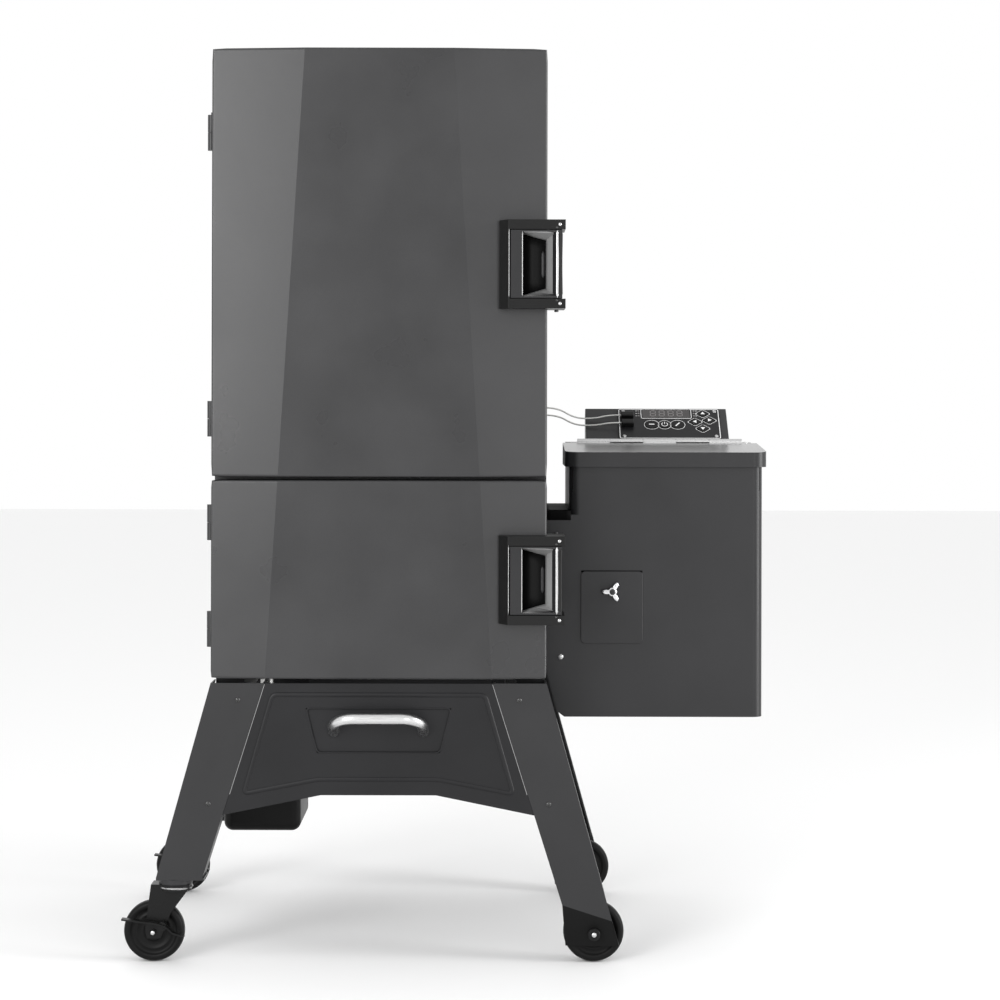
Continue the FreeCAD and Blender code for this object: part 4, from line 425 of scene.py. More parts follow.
def screw(name, centre, axis, material, body, radius=3.6, height=2.2):
    """A domed head with a sunk cross: r = radius cos(t), h = height sin(t), dipped where a slot runs."""
    u, v, w = frame_on(axis)
    rings, turns = 10, 48
    r = np.linspace(0.0, 1.0, rings)[:, None]
    a = np.linspace(0, 2 * np.pi, turns, endpoint=False)[None, :]
    x, y = r * np.cos(a), r * np.sin(a)
    dome = height * np.sqrt(np.clip(1 - 0.92 * r ** 2, 0, 1)) * np.ones_like(a)
    slot_half, slot_reach, slot_depth = 0.16, 0.62, 0.5 * height
    near, far = np.minimum(np.abs(x), np.abs(y)), np.maximum(np.abs(x), np.abs(y))
    dome = np.where((near < slot_half) & (far < slot_reach), dome - slot_depth, dome)
    skirt = np.stack([x[-1], y[-1], np.zeros(turns)], -1)[None]
    cap = np.stack([x, y, dome], -1)
    local = np.concatenate([cap, skirt]) * np.array([radius, radius, 1.0]) / 1000.0
    points = centre + local @ np.array([u, v, w])
    mesh = built(name, points, grid_faces(rings + 1, turns, True).tolist(), fill_rim=True)
    return finish_mesh(name, mesh, material, body)


for number, (x, z) in enumerate([(sx * 196, z) for sx in (-1, 1) for z in (380, 560, 750, 940, 1120)]):
    screw("back_screw_%d" % number, at(x, 420.0, z), (0, 1, 0), black_zinc, "cabinet")
for number, (x, z) in enumerate([(-62, 1066), (62, 1066), (-62, 1010), (62, 1010)]):
    screw("outlet_screw_%d" % number, at(x, 437.1, z), (0, 1, 0), black_zinc, "cabinet", 3.0, 0.8)


# ------------------------------------------------------------------ doors
# Each door is a deep pan folded from one sheet, with two creases that lean outward down its face and
# leave three flat facets. Its rim is folded back with a small radius, and it is powder coated.
door_coat = painted("door_powder_coat", (0.026, 0.026, 0.027), 0.30, Specular_IOR_Level=0.42)
FACE, BACK, SIDE = -48.0, -1.5, 210.0
CREASE_FOOT, CREASE_HEAD, FOOT_Z, HEAD_Z = 141.5, 93.0, 357.0, 1145.0
EDGE_FALL = (SIDE - CREASE_FOOT) * math.tan(math.radians(5.5))


def facet_depth(x, z):
    """Depth of the folded face: the middle facet, or the side facet where that lies further back.

    The side facet is the plane through the crease line and a point at the foot of the door's edge.
    """
    low = np.array([CREASE_FOOT, FACE, FOOT_Z])
    rise = np.array([CREASE_HEAD, FACE, HEAD_Z]) - low
    out = np.array([SIDE, FACE + EDGE_FALL, FOOT_Z]) - low
    n = np.cross(rise, out)
    side = FACE - (n[0] * (np.abs(x) - low[0]) + n[2] * (z - low[2])) / n[1]
    return np.maximum(side, FACE)


def door_pan(name, body, z_low, z_high, node):
    """Face grid y = facet_depth(x, z), with a quarter-round rim of 3 mm and straight sides behind it.

    Columns sit on the two creases; rows run up the door. Round the rim the grid's border is carried
    outwards and back by (r sin t, r (1 - cos t)), then straight back, in and closed by an inner return.
    """
    r = 3.0
    rows = np.linspace(z_low + r, z_high - r, 41)
    crease = CREASE_FOOT + (CREASE_HEAD - CREASE_FOOT) * (rows - FOOT_Z) / (HEAD_Z - FOOT_Z)
    left = -SIDE + r + (SIDE - r - crease[:, None]) * np.linspace(0, 1, 9)[None, :]
    middle = crease[:, None] * np.linspace(-1, 1, 17)[None, 1:-1]
    x = np.concatenate([left, middle, -left[:, ::-1]], 1)
    z = np.repeat(rows[:, None], x.shape[1], 1)
    y = facet_depth(x, z)
    face = np.stack([x, y, z], -1)
    count_z, count_x = x.shape
    border = np.concatenate([face[0, :], face[1:, -1], face[-1, -2::-1], face[-2:0:-1, 0]])
    near = 0.01
    sideways = np.where(np.abs(border[:, 0]) > SIDE - r - near, np.sign(border[:, 0]), 0.0)
    endways = 1.0 * (border[:, 2] > z_high - r - near) - 1.0 * (border[:, 2] < z_low + r + near)
    away = np.stack([sideways, np.zeros(len(border)), endways], -1)
    away /= np.maximum(np.linalg.norm(away, axis=1, keepdims=True), 1)
    inward = np.array([0.0, 1.0, 0.0])
    loops = [border + r * (math.sin(t) * away + (1 - math.cos(t)) * inward)
             for t in np.linspace(0.0, np.pi / 2, 5)[1:]]
    for inset, depth in ((0.0, BACK), (1.2, BACK), (1.2, BACK - 3.5)):
        ring = loops[3] - away * inset
        ring[:, 1] = depth
        loops.append(ring)
    points = np.concatenate([face.reshape(-1, 3)] + loops) / 1000.0 + ORIGIN
    index = np.arange(count_z * count_x).reshape(count_z, count_x)
    border_index = np.concatenate([index[0, :], index[1:, -1], index[-1, -2::-1], index[-2:0:-1, 0]])
    quads = grid_faces(count_z, count_x, False).tolist()
    n = len(border_index)
    chains = [border_index] + [count_z * count_x + k * n + np.arange(n) for k in range(len(loops))]
    for a, b in zip(chains, chains[1:]):
        quads += np.stack([a, b, np.roll(b, -1), np.roll(a, -1)], -1).tolist()
    mesh = built(name, points, quads, weld=False, facing=(0.0, -1.0, 0.0))
    pan = finish_mesh(name, mesh, door_coat, body, 3.0)
    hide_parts(node)


door_pan("upper_door_pan", "upper_door", 609.0, 1145.0, "upper_door_skin")
door_pan("lower_door_pan", "lower_door", 357.0, 605.0, "lower_door_skin")

# The inner panel is plain steel over mineral wool, and a black rubber seal runs round it.
liner_steel = zinc_finish("door_liner_steel", (0.36, 0.36, 0.36), 0.42, 60.0)
seal_rubber = painted("seal_rubber", (0.018, 0.018, 0.018), 0.75, 1600.0)
for door in ("upper_door", "lower_door"):
    dress(door + "_liner", liner_steel)
    dress(door + "_seal", seal_rubber)
    dress(door + "_hinge_halves", cabinet_coat)


# ------------------------------------------------------------------ latches
# A latch is glass-filled nylon: a housing screwed on the door's edge and a lever on an upright steel pin.
# Its fine stipple takes a dull sheen, and the lever has a deep tapered recess for the fingertips.
latch_nylon = painted("latch_nylon", (0.006, 0.006, 0.006), 0.36, 1500.0, 0.00008, Specular_IOR_Level=0.22)
lever_nylon = painted("lever_nylon", (0.013, 0.013, 0.014), 0.36, 1500.0, 0.00008, Specular_IOR_Level=0.34)
# The recess walls are coloured light grey as painted light, and its floor near-black as painted shade.
recess_painted_light = painted("recess_painted_light", (0.22, 0.22, 0.22), 0.30, 1500.0, 0.00005)
recess_painted_shade = painted("recess_painted_shade", (0.004, 0.004, 0.004), 0.5, 1500.0, 0.00005,
                             Specular_IOR_Level=0.12)
# These two bright plated finishes stand for glints along the latch's rounded nylon edges and rib: painted
# highlights.
edge_painted_highlight = zinc_finish("painted_edge_highlight", (0.42, 0.42, 0.42), 0.34)
rib_painted_highlight = zinc_finish("painted_rib_highlight", (0.56, 0.56, 0.56), 0.34)


def patch_strip(name, near, far, thick, material, body, steps=6):
    """Walls between two open paths: point(s, t) = (1 - t) near(s) + t far(s), given a sheet thickness."""
    near, far = np.array(near, float), np.array(far, float)
    t = np.linspace(0, 1, steps)[:, None, None]
    rows = (near * (1 - t) + far * t) / 1000.0 + ORIGIN
    mesh = bpy.data.meshes.new(name)
    mesh.from_pydata(rows.reshape(-1, 3).tolist(), [], grid_faces(steps, len(near), False).tolist())
    made = finish_mesh(name, mesh, material, body, 20.0)
    sheet = made.modifiers.new("sheet", "SOLIDIFY")
    sheet.thickness = thick / 1000.0
    sheet.offset = 0.0
    return made


def half_round(name, x, y, z0, z1, width, proud, material, body):
    """Upright half-round bead from z0 to z1: section (w/2 cos a, -h sin a), a from 0 to pi, ends tapered."""
    a = np.linspace(0, np.pi, 13)
    z = np.linspace(z0, z1, 25)
    end = np.clip(np.minimum(z - z0, z1 - z) / (width * 0.8), 0.02, 1.0) ** 0.5
    ring = np.stack([x + width / 2 * np.cos(a)[None, :] * end[:, None],
                     y - proud * np.sin(a)[None, :] * end[:, None], np.repeat(z[:, None], 13, 1)], -1)
    faces = grid_faces(25, 13, True).tolist() + [list(range(13)), list(range(24 * 13, 25 * 13))[::-1]]
    mesh = built(name, ring / 1000.0 + ORIGIN, faces, weld=False)
    return finish_mesh(name, mesh, material, body, 50.0)


# The lever's barrel swells towards both ends: r = 2.5 - 0.5 cos(t) ** 2, closed flat.
BARREL = np.stack([2.5 - 0.5 * np.cos(np.linspace(-1.5, 1.5, 25)) ** 2, np.linspace(-41.0, 41.0, 25)], -1)
BARREL[[0, -1]] = BARREL[[1, -2]] * np.array([0.0, 1.0])
for side, middle in (("upper", 874.0), ("lower", 482.0)):
    softened(side + "_latch_base", latch_nylon, 1.2, segments=3)
    softened(side + "_latch_lever", lever_nylon, 0.9, segments=3)
    for name, z in (("top", middle + 49.0), ("foot", middle - 49.0)):
        screw("%s_latch_screw_%s" % (side, name), at(225.0, -72.0, z), (0, -1, 0), zinc,
              side + "_door", 2.0, 1.0)
        screw("%s_latch_rivet_%s" % (side, name), at(221.0, -72.0, middle + (z - middle) * 0.92), (0, -1, 0),
              black_zinc, side + "_door", 1.4, 0.8)
        end = 56.5 if name == "top" else -57.0
        turned("%s_latch_pin_%s" % (side, name), [(0, 0.5), (2.2, 0.5), (2.7, 0.0), (2.7, -1.6), (0, -1.6)],
               at(222.0, -14.0, middle + end), (0, 0, 1 if end > 0 else -1), black_zinc, side + "_door", 32)
    lever = side + "_latch"
    # The fingertip recess: three tapered walls in light grey, painted light where they face the lamps, a
    # near-black floor of painted shade, and a raised pad at its deep end.
    rim = [(179.6, 39.9), (220.7, 39.9), (220.7, -39.9), (179.6, -39.9)]
    deep = [(179.6, 37.8), (207.7, 29.9), (207.7, -29.9), (179.6, -37.8)]
    patch_strip(side + "_recess_wall_highlights", [(x, -71.0, middle + h) for x, h in rim],
                [(x, -54.6, middle + h) for x, h in deep], 0.2, recess_painted_light, lever)
    patch_strip(side + "_recess_floor_shadow", [(179.4, -54.7, middle + 38.0), (207.8, -54.7, middle + 30.2)],
                [(179.4, -54.7, middle - 38.0), (207.8, -54.7, middle - 30.2)], 0.2, recess_painted_shade,
                lever)
    half_round(side + "_fingertip_pad", 204.2, -54.7, middle - 16.5, middle + 16.5, 4.6, 1.6, lever_nylon,
               lever)
    # Thin bright beads on the grip edge, the frame edge and the lever rib are painted highlights.
    half_round(side + "_grip_edge_highlight", 178.4, -71.1, middle - 40.0, middle + 40.5, 1.1, 0.5, edge_painted_highlight, lever)
    half_round(side + "_frame_edge_highlight", 161.9, -72.0, middle - 41.5, middle + 43.5, 0.8, 0.4, edge_painted_highlight,
               side + "_door")
    half_round(side + "_lever_rib_highlight", 221.8, -71.0, middle - 41.5, middle + 41.5, 3.2, 0.7, rib_painted_highlight, lever)
    turned(side + "_lever_barrel", BARREL, at(226.0, -70.0, middle), (0, 0, 1), latch_nylon, lever, 24)


# ------------------------------------------------------------------ inside the cabinet
# The liner is bright rolled steel, the racks are chromed wire, and the pans are pressed plain steel.
# Heat has browned the fire pot.
rolled_steel = brushed("rolled_liner_steel", (0.60, 0.60, 0.59), 0.34, (30.0, 30.0, 1.0))
pan_steel = brushed("pressed_pan_steel", (0.50, 0.50, 0.49), 0.3, (1.0, 12.0, 1.0))
rack_chrome = zinc_finish("rack_chrome", (0.78, 0.78, 0.79), 0.12, 200.0)
burnt_steel = brushed("burnt_steel", (0.26, 0.21, 0.17), 0.5, (1.0, 1.0, 1.0), 60.0)
wool = painted("mineral_wool", (0.42, 0.38, 0.27), 0.95, 300.0, 0.001, 0.8)
for node, finish in (("inner_liner", rolled_steel), ("wall_insulation", wool), ("rack_rails", pan_steel),
                     ("cooking_racks", rack_chrome), ("water_bowl", pan_steel), ("drip_tray", pan_steel),
                     ("fire_pot", burnt_steel)):
    dress(node, finish)

# ------------------------------------------------------------------ hopper
# The hopper is a case folded from sheet steel with round upright corners, powder coated like the
# cabinet. Its neck carries the pellet tube and the fan; a short sloped lid covers the bin.
hopper_coat = painted("hopper_powder_coat", (0.015, 0.015, 0.016), 0.34, Specular_IOR_Level=0.32)
# Up-facing lid faces and the deck take a lighter, clear-coated copy of the hopper's coat: the clear coat is a
# gloss finish, the doubled colour is painted sheen.
lid_top_sheen_coat = painted("lid_top_painted_sheen", (0.030, 0.030, 0.031), 0.32, relief_depth=0.00006, Coat_Weight=1.0,
                   Coat_Roughness=0.28)
# Near-black, nearly without sheen: painted shade for the neck's shadowed top face, also used for the cover's
# slot.
neck_shade_cap = painted("neck_top_painted_shade", (0.002, 0.002, 0.002), 0.6, Specular_IOR_Level=0.04)


def on_barrel(p, n):
    """Faces of the lid hinge's barrel and its narrow leaves, which are zinc plated."""
    return 185.0 < p[1] < 196.2 and p[2] > 647.6


softened("hopper_housing", hopper_coat, 0.9, second=[
    (lid_top_sheen_coat, lambda p, n: p[2] > 645.0), (zinc, on_barrel)])
softened("hopper_lid", hopper_coat, 1.3, segments=3, second=[
    (lid_top_sheen_coat, lambda p, n: n.z > 0.5), (zinc, on_barrel)])
softened("access_cover", hopper_coat, 0.5)
fan_nylon = painted("fan_nylon", (0.03, 0.03, 0.03), 0.45, 1500.0)
for node, finish in (("hopper_bin", rolled_steel), ("auger_tube", pan_steel), ("auger_screw", pan_steel),
                     ("auger_motor", painted("motor_enamel", (0.16, 0.16, 0.17), 0.5, 700.0)),
                     ("fan_housing", fan_nylon), ("fan_impeller", fan_nylon)):
    dress(node, finish)
# A near-black sheet over the neck's top stands for the shadow there: painted shade.
NECK_TOP = [(59.6, 550.5), (59.0, 562.0), (61.0, 563.2), (262.0, 563.2), (262.0, 558.0)]
patch_strip("neck_shade_cap", [(210.6, y, z) for y, z in NECK_TOP], [(243.0, y, z) for y, z in NECK_TOP], 0.8,
            neck_shade_cap, "cabinet")
screw("neck_screw", at(230.0, 60.0, 374.0), (0, -1, 0), zinc, "cabinet", 3.6, 2.4)
patch_strip("cover_slot", [(256.5, 58.9, 485.4), (335.5, 58.9, 485.4)],
            [(256.5, 58.9, 483.2), (335.5, 58.9, 483.2)], 0.4, neck_shade_cap, "access_cover", 2)

# The clean-out cover's knob is a bright die casting with three arms on a steel stud.
cast_zinc = zinc_finish("cast_zinc", (0.74, 0.74, 0.75), 0.22, 260.0)


def three_lobed(name, centre, body, node):
    """A star outline r(a) = 6.4 + 8.2 m, with m = max(0, cos 3(a - pi)) ** 1.25, scaled at each depth.

    The scales follow a rounded edge. A round boss stands at the middle, and the stud enters at the back.
    """
    turns = 180
    a = np.linspace(0, 2 * np.pi, turns, endpoint=False)
    star = 6.4 + 8.2 * np.clip(np.cos(3 * (a - np.pi)), 0, 1) ** 1.25
    stud = 3.9
    rings = [(np.full(turns, r), depth) for r, depth in ((0.0, 9.0), (3.6, 9.0), (stud, 7.2))]
    rings += [(star * scale, depth) for scale, depth in (
        (0.52, 6.9), (0.72, 6.9), (0.86, 6.4), (0.95, 5.2), (1.0, 3.4), (0.97, 1.6), (0.9, 0.6))]
    rings.append((np.full(turns, stud), 0.6))
    points = np.array([np.stack([r * np.cos(a), np.full(turns, -depth), r * np.sin(a)], -1)
                       for r, depth in rings])
    mesh = built(name, centre + points / 1000.0, grid_faces(len(points), turns, True).tolist())
    knob = finish_mesh(name, mesh, cast_zinc, body, 40.0)
    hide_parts(node)


three_lobed("clean_out_knob", at(296.5, 57.2, 458.5), "access_knob", "access_knob")
turned("clean_out_stud", [(0, 13.4), (3.0, 13.2), (3.9, 12.4), (3.9, 1.0), (0, 1.0)], at(296.5, 60.5, 458.5),
       (0, -1, 0), black_zinc, "access_cover", 32)

# ------------------------------------------------------------------ controller
# A painted steel wedge stands on the hopper's deck. Its moulded faceplate has a display under a dark
# window, lamps, printed lines and seven sprung rubber keys, and is held by four screws.
FACE_TILT = math.radians(50.0)
PLATE, KEY_TOP, INK = 3.0, 4.0, 0.06
ACROSS = np.array([1.0, 0.0, 0.0])
UP_WAY = np.array([0.0, math.sin(FACE_TILT), math.cos(FACE_TILT)])
OUT = np.array([0.0, -math.cos(FACE_TILT), math.sin(FACE_TILT)])


def on_face(across, up, out=0.0):
    """Places on the slanted face: corner + across X + up (0, sin 50, cos 50) + out (0, -cos 50, sin 50)."""
    across, up = np.asarray(across, float)[..., None], np.asarray(up, float)[..., None]
    return at(268.0, 196.0, 648.5) + (across * ACROSS + up * UP_WAY + out * OUT) / 1000.0


def flat_outline(name, loop, out, thick, material, body="cabinet", hole=None):
    """A thin plate on the face: an outline of (across, up) rows, and an inner one where it is a frame."""
    loop = np.array(loop, float)
    n = len(loop)
    k = np.arange(n)
    if hole is None:
        levels = [(loop, out + thick), (loop, out)]
        faces = [k[::-1].tolist()]
    else:
        hole = np.array(hole, float)
        levels = [(loop, out), (loop, out + thick), (hole, out + thick), (hole, out)]
        faces = []
    faces += grid_faces(len(levels), n, True).tolist()
    points = np.stack([on_face(edge[:, 0], edge[:, 1], depth) for edge, depth in levels])
    mesh = built(name, points, faces, weld=False, facing=OUT)
    return finish_mesh(name, mesh, material, body, 30.0)


def round_loop(a0, a1, u0, u1, r, steps=6):
    """A rounded rectangle's outline: at each corner centre + r (cos t, sin t) for a quarter turn."""
    centres = np.array([(a1 - r, u0 + r), (a1 - r, u1 - r), (a0 + r, u1 - r), (a0 + r, u0 + r)])
    t = np.radians(np.array([-90, 0, 90, 180])[:, None] + 90 * np.arange(steps + 1) / steps)
    return (centres[:, None] + r * np.stack([np.cos(t), np.sin(t)], -1)).reshape(-1, 2)


controller_coat = painted("controller_coat", (0.022, 0.022, 0.023), 0.38, Specular_IOR_Level=0.35)
plate_plastic = painted("faceplate_plastic", (0.010, 0.010, 0.011), 0.40, 1500.0, 0.00005,
                        Specular_IOR_Level=0.28)
key_rubber = painted("key_rubber", (0.008, 0.008, 0.008), 0.45, 1500.0, 0.00005, Specular_IOR_Level=0.2)
speck_group = new_group("fine_speck", [("Vector", "NodeSocketVector", None),
                                       ("Scale", "NodeSocketFloat", 2500.0)], [("Speck", "NodeSocketFloat")])
inside, outside = ends(speck_group)
dots = add(speck_group, "ShaderNodeTexNoise")
join(speck_group, (inside.outputs["Vector"], dots.inputs["Vector"]),
     (inside.outputs["Scale"], dots.inputs["Scale"]), (dots.outputs["Fac"], outside.inputs["Speck"]))


def speckled(name, color, roughness, dark, light, scale, **extra):
    """A colour that fine specks move between dark and light."""
    material, tree, shader = base_material(name, color, roughness, **extra)
    place = add(tree, "ShaderNodeTexCoord")
    specks = add(tree, "ShaderNodeGroup", node_tree=speck_group, in_Scale=scale)
    blend = add(tree, "ShaderNodeMixRGB", in_1=(*dark, 1), in_2=(*light, 1))
    join(tree, (place.outputs["Object"], specks.inputs["Vector"]), (specks.outputs["Speck"], blend.inputs[0]),
         (blend.outputs[0], shader.inputs["Base Color"]))
    return material


print_white = speckled("printed_white", (0.80, 0.80, 0.80), 0.6, (0.72, 0.72, 0.72), (0.88, 0.88, 0.88),
                       2500.0)
window_glass = speckled("display_window", (0.012, 0.010, 0.010), 0.08, (0.008, 0.007, 0.007),
                        (0.022, 0.016, 0.016), 90.0, Coat_Weight=0.6)
segment_grey = speckled("segment_grey", (0.20, 0.19, 0.19), 0.35, (0.14, 0.13, 0.13), (0.26, 0.25, 0.25),
                        3000.0)
softened("controller_box", controller_coat, 1.0)
softened("faceplate", plate_plastic, 0.5)
softened("probe_plugs", latch_nylon, 0.8)

flat_outline("display_window", round_loop(77.6, 142.4, 48.6, 66.4, 2.0), PLATE - 0.75, 0.5, window_glass)
# Four unlit seven-segment digits stand behind the window as faint grey bars.
SEGMENTS = [(0, 5.4, 5.6, 1.1), (0, 0, 5.6, 1.1), (0, -5.4, 5.6, 1.1),
            (-3.4, 2.7, 1.1, 4.4), (3.4, 2.7, 1.1, 4.4), (-3.4, -2.7, 1.1, 4.4), (3.4, -2.7, 1.1, 4.4)]
for digit in range(4):
    for number, (da, du, wide, tall) in enumerate(SEGMENTS):
        corners = np.array([92.0 + digit * 12.2 + da, 57.5 + du]) + np.array(
            [(-wide, -tall), (wide, -tall), (wide, tall), (-wide, tall)]) / 2
        flat_outline("digit_%d_bar_%d" % (digit, number), corners, PLATE - 0.25, 0.08, segment_grey)


def ink(name, loop, body="cabinet", height=PLATE, hole=None):
    """Printing on the faceplate or on a key's top."""
    flat_outline(name, loop, height, INK, print_white, body, hole)


def ring_print(name, a0, a1, u0, u1, r, width=0.7):
    """A printed line of even width that follows a rounded rectangle."""
    ink(name, round_loop(a0, a1, u0, u1, r),
        hole=round_loop(a0 + width, a1 - width, u0 + width, u1 - width, max(r - width, 0.3)))


# Printed outline round the faceplate, round the display, and a ring round each key.
ring_print("plate_border", 45.2, 181.8, 5.2, 66.0, 2.6, 1.0)
ring_print("display_border", 75.4, 144.6, 46.4, 65.8, 2.6, 0.8)
for name, offset, wide, tall in (("set", -17.6, 17.0, 15.0), ("power", 0.0, 14.6, 14.6),
                                 ("probe", 17.6, 17.0, 15.0)):
    a, u, gap = 107.0 + offset, 33.5, 1.9
    ring_print("ring_" + name, a - wide / 2 - gap, a + wide / 2 + gap, u - tall / 2 - gap, u + tall / 2 + gap,
               tall / 2 + 1.8, 0.6)
    dress("key_" + name, key_rubber)


def diamond(a, u, wide, tall, cut=1.6):
    """A diamond's outline with its points cut off."""
    x, y, rise = wide / 2 - cut, cut * tall / wide, tall / 2 - cut * tall / wide
    half = np.array([(-x, -y), (-cut, -rise), (cut, -rise), (x, -y)])
    return np.array([a, u]) + np.concatenate([half, -half])


for name, da, du, way in (("up", 1.5, 15.5, 90), ("down", 0.0, -15.5, -90), ("left", -9.8, -1.6, 180),
                          ("right", 9.8, 1.6, 0)):
    a, u, turn = 158.5 + da, 41.0 + du, math.radians(way)
    ink("ring_" + name, diamond(a, u, 22.6, 18.2), hole=diamond(a, u, 21.0, 16.9))
    dress("key_" + name, key_rubber)
    spin = np.array([(math.cos(turn), math.sin(turn)), (-math.sin(turn), math.cos(turn))])
    arrow = np.array([a, u]) + np.array([(3.2, 0), (-1.8, 3.0), (-1.8, -3.0)]) @ spin
    ink("arrow_" + name, arrow, "key_" + name, KEY_TOP)
# Mode marks: a bar, a slanted stroke, and a broken ring with an upright stroke.
ink("mark_set", round_loop(85.6, 93.2, 32.6, 34.4, 0.8), "key_set", KEY_TOP)
ink("mark_probe", [(121.0, 30.4), (122.6, 29.6), (128.2, 36.4), (126.8, 37.4)], "key_probe", KEY_TOP)
arc = np.radians(130 + np.arange(25) * 280 / 24)
arc = np.stack([np.cos(arc), np.sin(arc)], -1)
ink("mark_power", np.array([107.0, 33.5]) + np.concatenate([4.4 * arc, 3.5 * arc[::-1]]), "key_power",
    KEY_TOP)
ink("mark_power_stroke", round_loop(106.5, 107.5, 34.0, 38.6, 0.4), "key_power", KEY_TOP)
for side, a, step in (("left", 72.4, -4.0), ("right", 147.8, 2.4)):
    for row in range(3):
        u = 52.0 + row * 5.2
        turned("lamp_%s_%d" % (side, row), [(0, 0.7), (0.9, 0.55), (1.3, 0.1), (1.3, 0.0), (0, 0.0)],
               on_face(a, u, PLATE), OUT, segment_grey, "cabinet", 20)
        ink("lamp_line_%s_%d" % (side, row),
            round_loop(a + step - 0.2, a + step + 2.4, u - 0.4, u + 0.4, 0.3))
for number, (a, u) in enumerate([(51.5, 61.5), (51.5, 10.0), (176.0, 61.5), (176.0, 10.0)]):
    screw("faceplate_screw_%d" % number, on_face(a, u, PLATE), OUT, zinc, "cabinet", 2.6, 1.1)
port_rubber = painted("port_rubber", (0.02, 0.02, 0.02), 0.7, 1500.0)
softened("probe_port", port_rubber, 1.0)

# ------------------------------------------------------------------ stand
# Four flared channel legs and two panels are folded sheet, bolted together and powder coated.
# A pressed bead stiffens the front panel, and a bent steel bar is the pull handle.
STAND_FACE = -40.0
# The right legs' foot faces that look downward take the near-black coat: painted shade.
softened("legs", stand_coat, 0.9, second=[
    (foot_shade_coat, lambda p, n: p[0] > 210 and p[2] < 80 and n.z < -0.1)])
softened("front_panel", panel_coat, 0.7)
softened("stand_rails", panel_coat, 0.9)


def swept(name, path, section, material, body):
    """A section of (side, height) carried along a path on the panel: point = path + side n - height y.

    n is the path's left-hand normal in the panel's plane, mitred so that straight runs keep their width.
    """
    path, section = np.array(path, float), np.array(section, float)
    ahead = np.diff(path, axis=0)
    ahead = ahead / np.linalg.norm(ahead, axis=1, keepdims=True)
    behind, ahead = np.concatenate([ahead[:1], ahead]), np.concatenate([ahead, ahead[-1:]])
    tangent = ahead + behind
    tangent /= np.linalg.norm(tangent, axis=1, keepdims=True)
    normal = np.stack([-tangent[:, 1], tangent[:, 0]], -1)
    mitre = 1.0 / np.maximum(np.sum(normal * np.stack([-ahead[:, 1], ahead[:, 0]], -1), 1), 0.4)
    side = path[:, None, :] + normal[:, None, :] * (mitre[:, None, None] * section[None, :, 0, None])
    depth = np.broadcast_to(STAND_FACE - section[None, :, 1], side.shape[:2])
    points = np.stack([side[..., 0], depth, side[..., 1]], -1)
    rows, columns = points.shape[:2]
    faces = grid_faces(rows, columns, False).tolist()
    faces += [list(range(columns)), list(range((rows - 1) * columns, rows * columns))]
    mesh = built(name, points / 1000.0 + ORIGIN, faces, weld=False, facing=(0.0, -1.0, 0.0))
    return finish_mesh(name, mesh, material, body, 40.0)


def rounded_path(corners, r, steps=5):
    """A line through corner points with each inner corner turned through a short arc."""
    corners = [np.array(c, float) for c in corners]
    line = [corners[0]]
    for before, corner, after in zip(corners, corners[1:], corners[2:]):
        a = corner + (before - corner) / np.linalg.norm(before - corner) * r
        b = corner + (after - corner) / np.linalg.norm(after - corner) * r
        t = np.linspace(0, 1, steps + 1)[:, None]
        line += list((1 - t) ** 2 * a + 2 * t * (1 - t) * corner + t ** 2 * b)
    return line + [corners[-1]]


bead = [(-3.2, -0.4), (-2.6, 0.5), (-1.3, 1.15), (0.0, 1.35), (1.3, 1.15), (2.6, 0.5), (3.2, -0.4)]
outline = rounded_path([(0.0, 231.0), (-75.0, 231.0), (-168.5, 213.0), (-133.0, 336.6), (133.0, 336.6),
                        (168.5, 213.0), (75.0, 231.0), (0.1, 231.0)], 7.0)
swept("panel_bead", outline, bead, panel_coat, "cabinet")
lip = [(-1.2, -0.3), (-0.7, 0.35), (0.0, 0.5), (0.7, 0.35), (1.2, -0.3)]
pocket = rounded_path([(0.0, 264.0), (-77.0, 264.0), (-91.0, 320.0), (91.0, 320.0), (77.0, 264.0),
                       (0.1, 264.0)], 7.0)
swept("handle_pocket_lip", pocket, lip, panel_coat, "cabinet")

# A fine bright line, a painted highlight, shows where the panel's folded edge meets each leg.
seam_highlight = painted("seam_highlight", (0.22, 0.22, 0.22), 0.4)
for name, side in (("left", -1.0), ("right", 1.0)):
    swept("panel_seam_highlight_" + name, [(side * 142.6, 349.5), (side * 185.9, 212.0)],
          [(-0.5, -0.2), (-0.3, 0.2), (0.0, 0.3), (0.3, 0.2), (0.5, -0.2)], seam_highlight, "cabinet")

for number, (x, z) in enumerate([(-176, 330), (176, 330), (-213, 200), (213, 200)]):
    screw("stand_screw_%d" % number, at(x, STAND_FACE, z), (0, -1, 0), black_zinc, "cabinet", 3.2, 1.6)

handle_steel = brushed("handle_brushed_steel", (0.70, 0.70, 0.70), 0.24, (1.0, 30.0, 30.0), 60.0)


